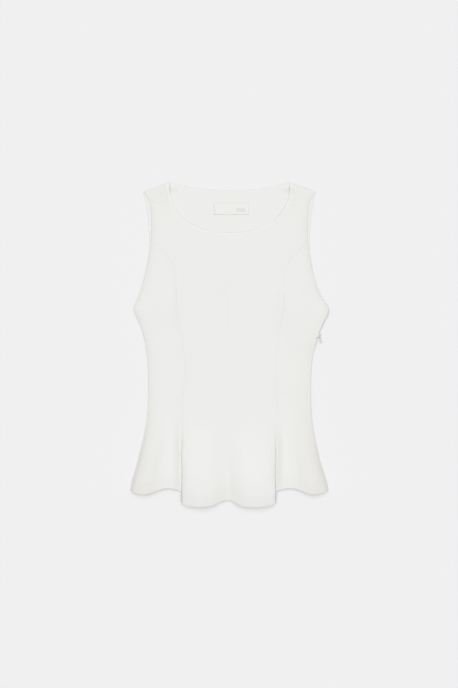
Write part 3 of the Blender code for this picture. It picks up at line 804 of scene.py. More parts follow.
def crepeGroup():
    # a crinkled weave: fine noise drawn out along the warp, the same along the weft, and a pebbled ground
    group, inlet, outlet = newGroup(
        "crepe weave",
        [
            ("Cut", "NodeSocketVector", None),
            ("Thread", "NodeSocketFloat", 1700.0),
            ("Pebble", "NodeSocketFloat", 0.5),
        ],
        [("Height", "NodeSocketFloat"), ("Shade", "NodeSocketFloat")],
    )
    cut = inlet.outputs["Cut"]
    parts = []
    for stretch in ((1.0, 0.28, 1.0), (0.28, 1.0, 1.0)):
        drawn = node(group, "ShaderNodeMapping", dict(vector_type="POINT"), Vector=cut, Scale=stretch)
        parts.append(noise(group, drawn.outputs[0], inlet.outputs["Thread"], 2.0, True, Roughness=0.6))
    threads = maths(group, "ADD", *parts)
    pebbles = noise(group, cut, 520.0, 3.0, True, Roughness=0.62)
    height = maths(group, "ADD", threads, maths(group, "MULTIPLY", pebbles, inlet.outputs["Pebble"]))
    plug(group, outlet, {"Height": height, "Shade": maths(group, "MULTIPLY", threads, 0.5)})
    return group


def clothToneGroup():
    # a slow drift of tone across the cloth
    group, inlet, outlet = newGroup(
        "cloth tone",
        [
            ("Place", "NodeSocketVector", None),
            ("Light", "NodeSocketColor", (0.8, 0.8, 0.8, 1)),
            ("Deep", "NodeSocketColor", (0.7, 0.7, 0.7, 1)),
            ("Shade", "NodeSocketFloat", 0.5),
        ],
        [("Color", "NodeSocketColor")],
    )
    drift = maths(group, "MULTIPLY", noise(group, inlet.outputs["Place"], 9.0, 2.0), 0.35)
    thread = maths(group, "MULTIPLY_ADD", inlet.outputs["Shade"], 0.65, drift)
    plug(group, outlet, {"Color": blend(group, thread, inlet.outputs["Deep"], inlet.outputs["Light"])})
    return group


def newMaterial(name, roughness, metallic=0.0):
    material = bpy.data.materials.new(name)
    material.use_nodes = True
    tree = material.node_tree
    shader = tree.nodes["Principled BSDF"]
    plug(tree, shader, {"Roughness": roughness, "Metallic": metallic})
    return material, tree, shader


crepeLook = dict(
    light=(0.8, 0.801, 0.797, 1),
    deep=(0.758, 0.756, 0.741, 1),
    # painted highlight and painted shade, mixed in where the depth attribute says
    highlightShare=0.3,
    highlightColour=(0.836, 0.83, 0.811, 1),
    shadeShare=0.52,
    shadeColour=(0.955, 0.942, 0.91, 1),
    hemBand=0.55,
    hemBandDeep=(0.0235, 0.0275),  # where the band ends, in metres from the hem
    foldHighlight=(0.001, 0.0024),
    hemColour=(0.982, 0.978, 0.974, 1),
    roughness=0.86,
    sheen=0.12,
    sheenRoughness=0.45,
    specular=0.25,
    thread=1500.0,
    pebble=0.6,
    bump=0.5,
    bumpDeep=0.00015,
)


def crepeMaterial():
    look = crepeLook
    material, tree, shader = newMaterial("ivory crepe", look["roughness"])
    cut = cutPlace(tree)
    threads = dict(Cut=cut, Thread=look["thread"], Pebble=look["pebble"])
    weave = node(tree, "ShaderNodeGroup", dict(node_tree=crepeGroup()), **threads).outputs
    tones = dict(Place=objectPlace(tree), Light=look["light"], Deep=look["deep"], Shade=weave["Shade"])
    colour = node(tree, "ShaderNodeGroup", dict(node_tree=clothToneGroup()), **tones).outputs["Color"]
    # painted highlight where depth is below 0, painted shade where it is above 0
    depth = node(tree, "ShaderNodeAttribute", dict(attribute_name="depth")).outputs["Fac"]
    colour = blend(tree, maths(tree, "MULTIPLY", depth, -look["highlightShare"]), colour, look["highlightColour"])
    shadeAmount = maths(tree, "MULTIPLY", depth, look["shadeShare"])
    colour = blend(tree, shadeAmount, colour, look["shadeColour"], "MULTIPLY")
    # a band above the hem is drawn a little deeper in tone, stopping short of the fold, where a painted
    # highlight runs along the edge
    upward = node(tree, "ShaderNodeSeparateXYZ", None, Vector=cut).outputs[1]
    band = smoothStep(tree, upward, *look["hemBandDeep"], look["hemBand"], 0.0)
    bandBelowHighlight = maths(tree, "MULTIPLY", band, smoothStep(tree, upward, *look["foldHighlight"], 0.0, 1.0))
    plug(tree, shader, {
        "Base Color": blend(tree, bandBelowHighlight, colour, look["hemColour"], "MULTIPLY"),
        "Normal": bumps(tree, look["bump"], look["bumpDeep"], weave["Height"]),
        "Sheen Weight": look["sheen"],
        "Sheen Roughness": look["sheenRoughness"],
        "Specular IOR Level": look["specular"],
    })
    return material


crepe = crepeMaterial()

# Front panels

frontCloth = dict(
    thick=0.7,
    pressed=0.6,  # share of the thickness that the neckline's edge loses
    columnStep=2.0,
    sideStep=1.9,
    topRows=14,
    strapRows=34,
    strapBow=1.25,
    splitUp=26.0,  # from the seams' top to where the straps part
    outerX=156.0,
    cornerColumns=(-1.8, -0.9, -0.35, 0, 0.35, 0.9, 1.8),
    cornerClear=2.6,
)


def sidePanel(table, left, right):
    places = finePlaces(hemPath(table)[-1], frontCloth["sideStep"])
    rows, _ = panelRows(table, places, left, right)
    points = addDetail(rows)
    cut = cutLengths(points)
    points[-1] = points[-1].mean(axis=0)
    return points, cut


def strapRows(base, side):
    # from the split under the neckline up to the shoulder seam, from armhole to neckline
    flip = 1 if side == 1 else -1
    outer = base[0] if side == 1 else base[-1]
    share = (base[:, 0] - base[0, 0]) / (base[-1, 0] - base[0, 0])
    share = share if side == 1 else 1 - share
    cornerY = neckY(body["neckCornerX"])
    rows = [base]
    steps = finePlaces(1.0, 1 / frontCloth["strapRows"], edge=(0.0, 0.006, 0.015))[3:]
    for up in steps:
        armY = outer[1] + (body["tipY"] - outer[1]) * up
        armX = leftEdge(armY) if side == 1 else rightEdge(armY)
        edgeY = cornerY + (body["shoulderY"] - cornerY) * (1 - (1 - up) ** frontCloth["strapBow"])
        edgeX = -flip * (neckX(edgeY) - ease(up) * (body["neckHalf"] - body["shoulderX"]))
        x = armX + (edgeX - armX) * share
        y = armY + (edgeY - armY) * share
        rows.append(bodyRow(x, y))
    return np.array(rows)


def middlePanel():
    f = frontCloth
    seamTop, cornerX = body["seamTopY"], body["neckCornerX"]
    baseY, cornerY = seamTop + f["splitUp"], neckY(cornerX)
    wide = rightEdge(baseY) - leftEdge(baseY)
    corners = [(x - leftEdge(baseY)) / wide for x in (-cornerX, cornerX)]
    path = hemPath(middleHem)
    wanted = np.interp(corners, middleHem[:, 3], path)
    near = np.concatenate([wanted + d for d in f["cornerColumns"]])
    places = finePlaces(path[-1], f["columnStep"])
    clear = np.abs(places[:, None] - wanted).min(axis=1) > f["cornerClear"]
    places = np.sort(np.concatenate([places[clear], near]))
    split = [int(np.abs(places - w).argmin()) for w in wanted]
    rows, share = panelRows(middleHem, places, lambda y: middleEdge(y, 1), lambda y: middleEdge(y, 2))
    more = []
    for part in finePlaces(1.0, 1 / f["topRows"], edge=(0.0, 0.012, 0.03, 0.06))[4:]:
        x = leftEdge(seamTop + f["splitUp"] * part) + wide * share
        beyond = np.clip((np.abs(x) - cornerX) / (f["outerX"] - cornerX), 0, 1)
        top = np.where(np.abs(x) > cornerX, cornerY + (baseY - cornerY) * beyond, neckY(x))
        y = seamTop + (top - seamTop) * part
        x[0], x[-1] = leftEdge(y[0]), rightEdge(y[-1])
        more.append(bodyRow(x, y))
    rows = np.concatenate([rows, more])
    points = addDetail(rows)
    cut = cutLengths(points)
    blocks = [(points, cut)]
    for side, span in ((1, slice(0, split[0] + 1)), (2, slice(split[1], None))):
        strap = addDetail(strapRows(rows[-1, span], side))
        strap[0] = points[-1, span]
        own = cutLengths(strap)
        middle = own.shape[1] // 2
        own += cut[-1, span][middle] - own[0, middle]
        blocks.append((strap, own))
    return blocks


def makeFront():
    left = sidePanel(leftHem, leftEdge, lambda y: seamX(y, 1))
    right = sidePanel(rightHem, lambda y: seamX(y, 2), rightEdge)
    blocks = [(0, *left), (1, *right)]
    blocks += [(2, grid, cut) for grid, cut in middlePanel()]
    points, faces, panels, corners = sewnWhole(blocks)
    normals = pointNormals(points, faces)
    made = []
    for panel, name in enumerate(("frontSideLeft", "frontSideRight", "frontMiddle")):
        own = panels == panel
        sewn = np.isin(np.arange(len(points)), faces[own]) & np.isin(np.arange(len(points)), faces[~own])
        cloth = (frontCloth["thick"], crepe, frontCloth["pressed"])
        made.append(shell(name, points, faces[own], normals, corners[own], sewn, *cloth))
    return made


frontSideLeft, frontSideRight, frontMiddle = makeFront()
print("front panels:", [len(o.data.polygons) for o in (frontSideLeft, frontSideRight, frontMiddle)])

# Back

backForm = dict(
    hemY=-281.0,
    hemRound=14.0,
    wavesStartY=-225.0,
    # x, half width, height
    waves=((-169.0, 15.0, 3.0), (-60.0, 27.0, 4.5), (54.0, 27.0, 4.5), (165.0, 15.0, 3.0)),
    waveNarrow=1.5,
    waveFloor=0.15,
    neckRound=2.1,
    neckFromY=284.0,
    neckFrom=0.93,  # share of the rows below neckFromY
    cornerX=112.5,
    cornerY=313.0,
    cornerLift=3.0,
    cornerWide=5.5,
    columns=124,
    rows=190,
    thick=0.7,
    # the back takes a fifth of the painted shade and highlight
    paintedShading=0.2,
)


def backHeight(x, y):
    f = backForm
    drop = ease((f["wavesStartY"] - y) / (f["wavesStartY"] - f["hemY"]))
    rise = sum(height * bell((x - at) * f["waveNarrow"], half) for at, half, height in f["waves"])
    return body["backMid"] + np.clip(rise - f["waveFloor"], 0, None) * drop


def makeBack():
    f = backForm
    sideLow, leftLow, rightLow = sideSeams[0]
    reach = armholes[-1, 3], armholes[-1, 4]
    share = finePlaces(1.0, 1 / f["columns"], edge=(0.0, 0.001, 0.0024, 0.005))
    tips = [(x - reach[0]) / (reach[1] - reach[0]) for x in (-body["shoulderX"], body["shoulderX"])]
    share, _ = snapped(share, tips)

    def across(y):
        low, high = outline(y, 3, 1), outline(y, 4, 2) - zipShows(y)
        return low + (high - low) * share

    flat = across(np.full(len(share), sideLow))
    fromSide = np.minimum(flat - leftLow, rightLow - flat)
    hem = f["hemY"] + (sideLow - f["hemY"]) * bell(fromSide, f["hemRound"])
    topX = reach[0] + (reach[1] - reach[0]) * share
    scoop = 1 - np.abs(topX / body["shoulderX"]) ** f["neckRound"]
    neck = body["shoulderY"] - body["backNeckDrop"] * scoop
    top = np.where(np.abs(topX) > body["shoulderX"], shoulderY(topX), neck)
    top[0], top[-1] = body["tipY"], body["tipY"]
    last, start = f["neckFromY"], f["neckFrom"]
    rows = []
    for up in finePlaces(1.0, 1 / f["rows"], edge=(0.0, 0.0008, 0.0018, 0.003)):
        part = np.clip((up - start) / (1 - start), 0, 1)
        level = hem + (last - hem) * np.clip(up / start, 0, 1)
        y = level + (top - level) * part
        x = across(np.minimum(y, last)) * (1 - ease(part)) + topX * ease(part)
        rows.append(np.stack([x, y, backHeight(x, y)], axis=1))
    points = np.array(rows)
    away = np.hypot(np.abs(points[..., 0]) - f["cornerX"], points[..., 1] - f["cornerY"])
    points[..., 2] += f["cornerLift"] * bell(away, f["cornerWide"])
    return sheetShell("backPanel", points, f["thick"], crepe, f["paintedShading"])


backPanel = makeBack()
print("back:", len(backPanel.data.polygons))

# Thread, tapes and metal

def tubeGrid(path, radius, sides):
    # rings of points round a path, and the faces between them, with both ends closed; no path here runs
    # along the slanted direction that the rings start from
    ahead = np.gradient(path, axis=0)
    ahead /= np.linalg.norm(ahead, axis=1, keepdims=True)
    side = np.cross(ahead, [0.13, 0.09, 1.0])
    side /= np.linalg.norm(side, axis=1, keepdims=True)
    other = np.cross(ahead, side)
    turn = np.linspace(0, 2 * pi, sides, endpoint=False)
    ring = side[:, None] * np.cos(turn)[:, None] + other[:, None] * np.sin(turn)[:, None]
    points = (path[:, None] + ring * np.broadcast_to(radius, len(path))[:, None, None]).reshape(-1, 3)
    i = np.arange((len(path) - 1) * sides).reshape(-1, sides)
    after = np.roll(i, -1, axis=1)
    faces = np.stack([i, i + sides, after + sides, after], axis=-1).reshape(-1, 4)
    first, last = len(points), len(points) + 1
    points = np.concatenate([points, path[:1], path[-1:]])
    start, end = np.arange(sides), np.arange(sides) + (len(path) - 1) * sides
    caps = [np.stack([start, np.roll(start, -1), np.full(sides, first), np.full(sides, first)], axis=1)]
    caps.append(np.stack([np.roll(end, -1), end, np.full(sides, last), np.full(sides, last)], axis=1))
    return points, np.concatenate([faces, *caps])


def gathered(parts):
    # several sets of points and faces as one
    points, faces, start = [], [], 0
    for own, ownFaces in parts:
        points.append(own)
        faces.append(ownFaces + start)
        start += len(own)
    return np.concatenate(points), np.concatenate(faces)


def plainPiece(name, parts, material):
    points, faces = gathered(parts)
    return meshFrom(name, points, faces, points[:, :2][faces], material)


# Woven label

labelForm = dict(
    x=3.0,
    y=273.5,
    wide=68.0,
    tall=24.0,
    thick=0.34,
    rest=0.96,
    sewnTo=2.0,  # down from the upper edge
    freeOver=12.0,
    lift=1.1,  # its left end stands off the back
    liftOver=13.0,
    liftSewn=0.25,
    lowerLift=0.4,
    lowerFrom=13.0,
    lowerOver=11.0,
    ripple=0.12,
    rippleEvery=(5.1, 6.0),
    stitchEvery=2.6,
    stitchShare=0.78,
    stitchIn=1.5,
    thread=0.13,
)


def labelHeight(x, y):
    f = labelForm
    fromLeft, fromTop = x - f["x"] + f["wide"] / 2, f["y"] + f["tall"] / 2 - y
    free = ease((fromTop - f["sewnTo"]) / f["freeOver"])
    corner = np.clip(1 - fromLeft / f["liftOver"], 0, 1) ** 2
    height = f["rest"] + f["lift"] * corner * (f["liftSewn"] + (1 - f["liftSewn"]) * free)
    lower = ease((fromTop - f["lowerFrom"]) / f["lowerOver"])
    height += f["lowerLift"] * lower * (0.8 + 0.2 * np.cos(fromLeft / 9.0))
    wave = np.cos(fromLeft / f["rippleEvery"][0] + fromTop / f["rippleEvery"][1])
    return height + f["ripple"] * free * (1 + wave)


labelLook = dict(
    ground=(0.778, 0.772, 0.748, 1),
    weft=(0.718, 0.712, 0.69, 1),
    bar=(0.42, 0.42, 0.41, 1),
    barStart=(0.0095, 0.0045),  # from the label's middle column and its lower edge
    barEnd=(0.0275, 0.0125),
    barSharp=2500.0,
    barShare=0.19,
    ribs=1400.0,
    warps=3.1,  # for each rib, in radians
    bump=0.4,
    bumpDeep=0.00006,
    sheen=0.2,
    roughness=0.5,
)


def ribbing(tree, place, turns):
    wave = maths(tree, "SINE", maths(tree, "MULTIPLY", place, turns))
    return maths(tree, "MULTIPLY_ADD", wave, 0.5, 0.5)


def labelMaterial():
    # satin weave: fine ribs across, and one plain bar where a label has its words
    look = labelLook
    material, tree, shader = newMaterial("woven label", look["roughness"])
    cut = node(tree, "ShaderNodeSeparateXYZ", None, Vector=cutPlace(tree)).outputs
    rib = ribbing(tree, cut[1], look["ribs"] * 2 * pi)
    weave = maths(tree, "MULTIPLY", rib, ribbing(tree, cut[0], look["ribs"] * look["warps"]))
    inside = 1.0
    for axis in (0, 1):
        for edge, sharp in ((look["barStart"], look["barSharp"]), (look["barEnd"], -look["barSharp"])):
            past = maths(tree, "MULTIPLY_ADD", cut[axis], sharp, 0.5 - edge[axis] * sharp)
            past = node(tree, "ShaderNodeClamp", None, Value=past).outputs[0]
            inside = maths(tree, "MULTIPLY", past, inside)
    ground = blend(tree, weave, look["ground"], look["weft"])
    plug(tree, shader, {
        "Base Color": blend(tree, maths(tree, "MULTIPLY", inside, look["barShare"]), ground, look["bar"]),
        "Normal": bumps(tree, look["bump"], look["bumpDeep"], weave),
        "Sheen Weight": look["sheen"],
    })
    return material


threadLook = dict(colour=(0.76, 0.755, 0.735, 1), dark=(0.8, 0.8, 0.8, 1), twist=5200.0, roughness=0.55)


def threadMaterial():
    look = threadLook
    material, tree, shader = newMaterial("sewing thread", look["roughness"])
    twist = noise(tree, objectPlace(tree), look["twist"], 1.0)
    plug(tree, shader, {"Base Color": blend(tree, twist, look["colour"], look["dark"], "MULTIPLY")})
    return material


sewingThread = threadMaterial()


def makeLabel():
    f = labelForm
    x = f["x"] + f["wide"] * (finePlaces(1.0, 1 / 68, edge=(0.0, 0.002, 0.006, 0.012)) - 0.5)
    y = f["y"] + f["tall"] * (finePlaces(1.0, 1 / 26, edge=(0.0, 0.006, 0.016, 0.03)) - 0.5)
    x, y = np.meshgrid(x, y)
    points = np.stack([x, y, labelHeight(x, y)], axis=-1)
    label = sheetShell("neckLabel", points, f["thick"], labelMaterial())
    stitches = []
    top = f["y"] + f["tall"] / 2 - f["stitchIn"]
    for start in np.arange(-f["wide"] / 2 + 2.0, f["wide"] / 2 - 2.4, f["stitchEvery"]):
        along = np.linspace(0, 1, 7)
        px = f["x"] + start + along * f["stitchEvery"] * f["stitchShare"]
        py = top + 0.12 * np.sin(start * 2.3) * along
        pz = labelHeight(px, py) + f["thick"] / 2 + f["thread"] * (2.2 * np.sin(pi * along) ** 0.5 - 1.4)
        stitches.append(tubeGrid(np.stack([px, py, pz], axis=1), f["thread"], 6))
    return label, plainPiece("labelStitches", stitches, sewingThread)


neckLabel, labelStitches = makeLabel()
print("label:", len(neckLabel.data.polygons), "stitches:", len(labelStitches.data.polygons))

# Side zip: tapes with their coils, slider and pull

zipForm = dict(
    tapeWide=10.8,
    tapeThick=0.4,
    backTape=(1.0, 2.0),  # height of the tape's middle where it is closed, and where it is open
    frontTape=(1.55, 3.2),
    openFrom=-6.0,
    openOver=18.0,
    pitch=1.35,
    coilWide=0.55,
    coilTall=0.3,
    wire=0.17,
    coilIn=0.27,  # from each tape towards the other
    coilBelow=6.5,  # the underarm
    tapeBelow=5.0,
    tapeRows=130,
    stepsATurn=10,
)


def tapeHeight(y, pair):
    spread = ease((y - zipForm["openFrom"]) / zipForm["openOver"])
    return pair[0] + (pair[1] - pair[0]) * spread


def coil(pair, inward, phase):
    # a helix along the tape's edge, flattened, with its turns facing the other tape
    f = zipForm
    low, high = sideZip["endY"] + 2.0, body["underarmY"] - f["coilBelow"]
    turns = (high - low) / f["pitch"]
    t = np.linspace(0, 2 * pi * turns, int(turns * f["stepsATurn"]))
    y = low + (high - low) * t / t[-1]
    x = zipEdge(y) - f["coilWide"] - f["wire"] - 0.05 + f["coilWide"] * np.cos(t + phase)
    z = tapeHeight(y, pair) + inward + f["coilTall"] * np.sin(t + phase)
    return tubeGrid(np.stack([x, y, z], axis=1), f["wire"], 6)


tapeLook = dict(
    ground=(0.76, 0.758, 0.752, 1),
    rib=(0.68, 0.678, 0.672, 1),
    ribs=300.0,
    bump=0.5,
    bumpDeep=0.0001,
    roughness=0.75,
    coil=(0.7, 0.7, 0.7, 1),
    coilRoughness=0.4,
)


def tapeMaterial():
    # knitted tape: rows of small loops across its width
    look = tapeLook
    material, tree, shader = newMaterial("zip tape", look["roughness"])
    bands = dict(Vector=cutPlace(tree), Scale=look["ribs"], Distortion=2.0, Detail=1.0)
    loops = node(tree, "ShaderNodeTexWave", dict(bands_direction="Y"), **bands).outputs["Fac"]
    plug(tree, shader, {
        "Base Color": blend(tree, loops, look["rib"], look["ground"]),
        "Normal": bumps(tree, look["bump"], look["bumpDeep"], loops),
    })
    return material


# the coil's light grey is partly the nylon's own and partly painted shade for the dark line along the open
# zip
def coilMaterial():
    material, tree, shader = newMaterial("zip coil", tapeLook["coilRoughness"])
    plug(tree, shader, {"Base Color": tapeLook["coil"]})
    return material


def makeTapes():
    f = zipForm
    y = np.linspace(sideZip["endY"], body["underarmY"] - f["tapeBelow"], f["tapeRows"])
    share = np.array([0.0, 0.01, 0.03, 0.08, 0.2, 0.35, 0.5, 0.65, 0.8, 0.92, 0.97, 0.99, 1.0])
    tape, wire = tapeMaterial(), coilMaterial()
    halves = (
        ("Back", f["backTape"], f["coilIn"], 0.0),
        ("Front", f["frontTape"], -f["coilIn"], pi),
    )
    made = []
    for name, pair, inward, phase in halves:
        inner = zipEdge(y) - f["tapeWide"]
        x = inner[:, None] + (f["tapeWide"] - f["wire"] - 0.35) * share
        level = np.broadcast_to(y[:, None], x.shape)
        z = tapeHeight(level, pair) + 0.05 * np.sin(level / 6.1 + x)
        made.append(sheetShell("zipTape" + name, np.stack([x, level, z], axis=-1), f["tapeThick"], tape))
        made.append(plainPiece("zipCoil" + name, [coil(pair, inward, phase)], wire))
    return made


zipTapeBack, zipCoilBack, zipTapeFront, zipCoilFront = makeTapes()
print("tapes:", len(zipTapeBack.data.polygons), len(zipTapeFront.data.polygons))
print("coils:", len(zipCoilBack.data.polygons), len(zipCoilFront.data.polygons))

sliderForm = dict(
    long=8.4,
    thick=2.0,
    wide=4.8,
    bottom=1.5,
    gap=0.4,
    lip=1.15,
    lipThick=0.3,
    upperLip=(2.35, 2.65),  # above the slider's lower side
    bridgeWire=0.9,
    bridgeReach=2.8,
    bridgeLong=5.2,
)
pullForm = dict(
    long=15.0,
    thick=0.8,
    tip=2.1,
    eye=1.7,
    slotLong=3.6,
    slot=0.85,
    bar=0.9,
    swing=14.0,  # degrees out from the seam
    bevel=0.17,
    steps=96,
)


def sliderFrame():
    # centre, the way down the zip, and the way out from the cloth
    f = sliderForm
    half, y = f["long"] / 2, sideZip["sliderY"]
    run = np.array([float(zipEdge(y - half) - zipEdge(y + half)), -2 * half, 0.0])
    run /= np.linalg.norm(run)
    x = float(zipEdge(y)) - (f["gap"] + f["thick"] / 2) / run[1]
    return np.array([x, y, f["bottom"] + f["wide"] / 2]), run, np.array([-run[1], run[0], 0.0])


def smoothLoop(corners, radius, steps=4):
    # a closed loop with each corner rounded
    corners = np.asarray(corners, float)
    points = []
    for i, here in enumerate(corners):
        before, after = corners[i - 1] - here, corners[(i + 1) % len(corners)] - here
        cut = min(radius, 0.45 * np.linalg.norm(before), 0.45 * np.linalg.norm(after))
        a, b = here + before / np.linalg.norm(before) * cut, here + after / np.linalg.norm(after) * cut
        for t in np.linspace(0, 1, steps):
            points.append((1 - t) ** 2 * a + 2 * t * (1 - t) * here + t * t * b)
    return np.array(points)


def inset(loop, by):
    # moves a counter-clockwise loop's points inwards
    along = np.roll(loop, -1, axis=0) - np.roll(loop, 1, axis=0)
    normal = np.stack([-along[:, 1], along[:, 0]], axis=1)
    return loop + normal / np.linalg.norm(normal, axis=1, keepdims=True) * by


def barrel(loop, stations):
    # a loop carried through stations of place and inset
    rings = [np.column_stack([np.full(len(loop), place), inset(loop, by)]) for place, by in stations]
    size = len(loop)
    i = np.arange(size)
    after = (i + 1) % size
    starts = np.arange(len(rings) - 1) * size
    faces = [np.stack([i + k, after + k, after + k + size, i + k + size], axis=1) for k in starts]
    return np.concatenate(rings), np.concatenate(faces)


def capped(points, faces, size):
    # closes both ends of a barrel whose end loops are convex
    ends = []
    for start, flip in ((0, True), (len(points) - size, False)):
        ring = np.arange(size) + start
        centre = len(points) if flip else len(points) + 1
        a, b = (np.roll(ring, -1), ring) if flip else (ring, np.roll(ring, -1))
        ends.append(np.stack([a, b, np.full(size, centre), np.full(size, centre)], axis=1))
    middle = np.stack([points[:size].mean(axis=0), points[-size:].mean(axis=0)])
    return np.concatenate([points, middle]), np.concatenate([faces, *ends])


def inSlider(points):
    # from down the zip, out from the cloth, and up, to the layout
    at, run, out = sliderFrame()
    return at + points[:, :1] * run + points[:, 1:2] * out + points[:, 2:3] * np.array([0, 0, 1.0])


def makeSlider(metal):
    f = sliderForm
    half, deep, tall = f["long"] / 2, f["thick"] / 2, f["wide"] / 2
    ends = [
        (-half, 0.45),
        (-half + 0.12, 0.2),
        (-half + 0.4, 0.0),
        (-0.9, -0.0),
        (0.9, 0.1),
        (half - 0.4, 0.1),
        (half - 0.12, 0.3),
        (half, 0.52),
    ]
    parts = []
    for low, high, isLip in ((0.0, f["wide"], False), (0.0, f["lipThick"], True), (*f["upperLip"], True)):
        inner, outer = (-deep - f["lip"], -deep + 0.4) if isLip else (-deep, deep)
        low, high = low - tall, high - tall
        corners = [(inner, low), (outer, low), (outer, high), (inner, high)]
        loop = smoothLoop(corners, min(0.6, (high - low) * 0.45))
        shrink = 0.25 if isLip else 1.0
        points, faces = barrel(loop, [(place, by * shrink) for place, by in ends])
        parts.append(capped(points, faces, len(loop)))
    wire = f["bridgeWire"] / 2
    reach, wide = f["bridgeReach"] - wire, f["bridgeLong"] / 2 - wire
    turn = np.linspace(0, pi, 17)
    along = -wide * np.sign(np.cos(turn)) * np.abs(np.cos(turn)) ** 0.45
    away = deep - 0.1 + (reach + 0.1) * np.sin(turn) ** 0.45
    arch = np.stack([along, away, 0 * turn], axis=1)
    arch = np.concatenate([[[-wide, deep - 0.6, 0]], arch, [[wide, deep - 0.6, 0]]])
    parts.append(tubeGrid(arch, wire, 14))
    return plainPiece("zipSlider", [(inSlider(points), faces) for points, faces in parts], metal)


def pullFrame():
    f = sliderForm
    at, run, out = sliderFrame()
    down = f["bridgeLong"] / 2 - f["bridgeWire"] - pullForm["bar"]
    away = f["thick"] / 2 + (f["bridgeReach"] - f["bridgeWire"]) / 2
    turn = radians(pullForm["swing"] - 90)
    along = np.array([np.cos(turn), np.sin(turn), 0.0])
    return at + run * down + out * away, along, np.array([-along[1], along[0], 0.0])


def evenLoop(loop, count):
    # the loop again with evenly spread points, starting where it crosses its own +x side
    closed = np.concatenate([loop, loop[:1]])
    path = np.concatenate([[0], np.cumsum(np.linalg.norm(np.diff(closed, axis=0), axis=1))])
    places = np.linspace(0, path[-1], count, endpoint=False)
    return np.column_stack([np.interp(places, path, closed[:, k]) for k in (0, 1)])


def mirrored(half):
    return np.array(half + [(x, -y) for x, y in half[-2:0:-1]])


def makePull(metal):
    # a drop with a slot: rings from the slot's middle line over the faces to the outer edge and back
    f = pullForm
    start = -f["bar"] / 2
    centre = f["long"] - f["tip"] + start
    turns = np.radians(np.linspace(0, 80, 9))
    outer = [(centre + f["tip"] * np.cos(a), f["tip"] * np.sin(a)) for a in turns]
    outer += [
        (f["slotLong"] + 1.6, f["eye"]),
        (start + 0.5, f["eye"]),
        (start + 0.15, f["eye"] - 0.15),
        (start, f["eye"] - 0.5),
        (start, 0.0),
    ]
    a, b, h = f["bar"] / 2, f["bar"] / 2 + f["slotLong"], f["slot"]
    slot = [
        (b, 0.0),
        (b, h - 0.4),
        (b - 0.12, h - 0.12),
        (b - 0.4, h),
        (a + 0.4, h),
        (a + 0.12, h - 0.12),
        (a, h - 0.4),
        (a, 0.0),
    ]
    count = f["steps"]
    outer, slot = evenLoop(mirrored(outer), count), evenLoop(mirrored(slot), count)
    thick, bevel = f["thick"] / 2, f["bevel"]
    near = bevel * 0.3
    stations = [
        (slot, -bevel, thick),
        (outer, bevel, thick),
        (outer, near, thick - near),
        (outer, 0, thick - bevel),
        (outer, 0, bevel - thick),
        (outer, near, near - thick),
        (outer, bevel, -thick),
        (slot, -bevel, -thick),
        (slot, -near, near - thick),
        (slot, 0, bevel - thick),
        (slot, 0, thick - bevel),
        (slot, -near, thick - near),
    ]
    at, along, across = pullFrame()
    rings = []
    for loop, by, height in stations:
        flat = inset(loop, by)
        rings.append(at + flat[:, :1] * along + flat[:, 1:] * np.array([0, 0, 1.0]) + height * across)
    i = np.arange(count)
    after = (i + 1) % count
    faces = []
    for k in range(len(rings)):
        here, there = k * count, (k + 1) % len(rings) * count
        faces.append(np.stack([i + here, i + there, after + there, after + here], axis=1))
    return plainPiece("zipPull", [(np.concatenate(rings), np.concatenate(faces))], metal)


metalLook = dict(
    colour=(0.58, 0.58, 0.575, 1),
    worn=(0.68, 0.675, 0.665, 1),
    rub=900.0,
    roughness=0.34,
    rougher=0.2,
    metallic=0.9,
)


def metalMaterial():
    # nickel plate with faint rubbed patches
    look = metalLook
    material, tree, shader = newMaterial("nickel", look["roughness"], look["metallic"])
    rub = noise(tree, objectPlace(tree), look["rub"], 3.0)
    plug(tree, shader, {
        "Base Color": blend(tree, rub, look["colour"], look["worn"]),
        "Roughness": maths(tree, "MULTIPLY_ADD", rub, look["rougher"], look["roughness"]),
    })
    return material


nickel = metalMaterial()
zipSlider = makeSlider(nickel)
zipPull = makePull(nickel)
print("slider and pull:", len(zipSlider.data.polygons), len(zipPull.data.polygons))

# What each piece stands for

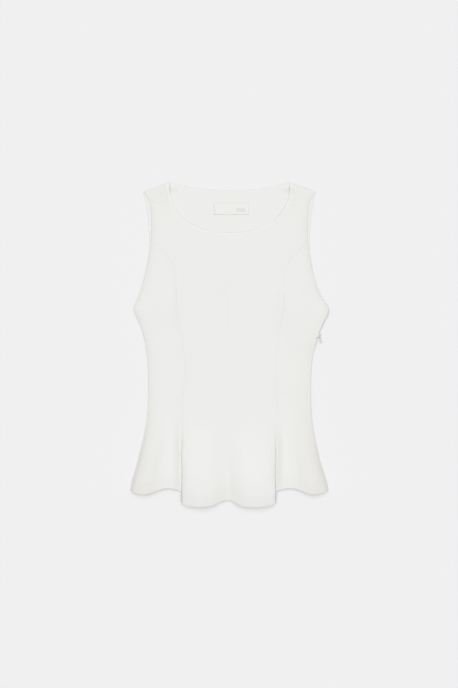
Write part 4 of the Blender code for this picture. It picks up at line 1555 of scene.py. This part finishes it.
standsFor = dict(
    front_middle=[frontMiddle],
    front_side_left=[frontSideLeft],
    front_side_right=[frontSideRight],
    back=[backPanel],
    neck_label=[neckLabel, labelStitches],
    zip_tape_back=[zipTapeBack, zipCoilBack],
    zip_tape_front=[zipTapeFront, zipCoilFront],
    zip_slider=[zipSlider],
    zip_pull=[zipPull],
)
for cadNode, pieces in standsFor.items():
    for piece in pieces:
        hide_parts(cadNode)
        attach(piece, "pull" if cadNode == "zip_pull" else "garment")

# The floor

floorForm = dict(half=4.0, z=-0.0001, colour=(0.56, 0.56, 0.56, 1), glow=0.267, specular=0.1, roughness=0.9)


def makeFloor():
    # it glows like a lit table, so that shadows on it stay pale
    mesh = bpy.data.meshes.new("floor")
    half = floorForm["half"]
    corners = [(-half, -half, 0), (half, -half, 0), (half, half, 0), (-half, half, 0)]
    mesh.from_pydata(corners, [], [(0, 1, 2, 3)])
    material, tree, shader = newMaterial("paper", floorForm["roughness"])
    plug(tree, shader, {
        "Base Color": floorForm["colour"],
        "Emission Color": (1, 1, 1, 1),
        "Emission Strength": floorForm["glow"],
        "Specular IOR Level": floorForm["specular"],
    })
    mesh.materials.append(material)
    made = placed("floor", mesh)
    made.location.z = floorForm["z"]
    return made


floor = makeFloor()

# Light and camera

studio = dict(
    worldStrength=0.355,
    sunStrength=2.428,
    sunTilt=7.0,  # degrees from overhead, towards the neck
    sunSoft=85.0,  # degrees across
    cameraPlace=(-0.00125, 0.00056, 2.2),
    lens=57.6,
    contrast=0.8,  # below 1 for the photo's steeper tones
)


def makeStudio():
    scene = bpy.context.scene
    world = bpy.data.worlds.new("studio")
    world.use_nodes = True
    light = {"Color": (1, 1, 1, 1), "Strength": studio["worldStrength"]}
    plug(world.node_tree, world.node_tree.nodes["Background"], light)
    scene.world = world
    data = bpy.data.lights.new("softbox", "SUN")
    data.energy = studio["sunStrength"]
    data.angle = radians(studio["sunSoft"])
    placed("softbox", data).rotation_euler = (-radians(studio["sunTilt"]), 0, 0)
    data = bpy.data.cameras.new("camera")
    data.lens = studio["lens"]
    data.sensor_width = 36.0
    data.clip_end = 50.0
    scene.camera = placed("camera", data)
    scene.camera.location = studio["cameraPlace"]
    scene.view_settings.view_transform = "Standard"
    scene.view_settings.look = "None"
    scene.view_settings.gamma = studio["contrast"]


makeStudio()
print("studio ready")
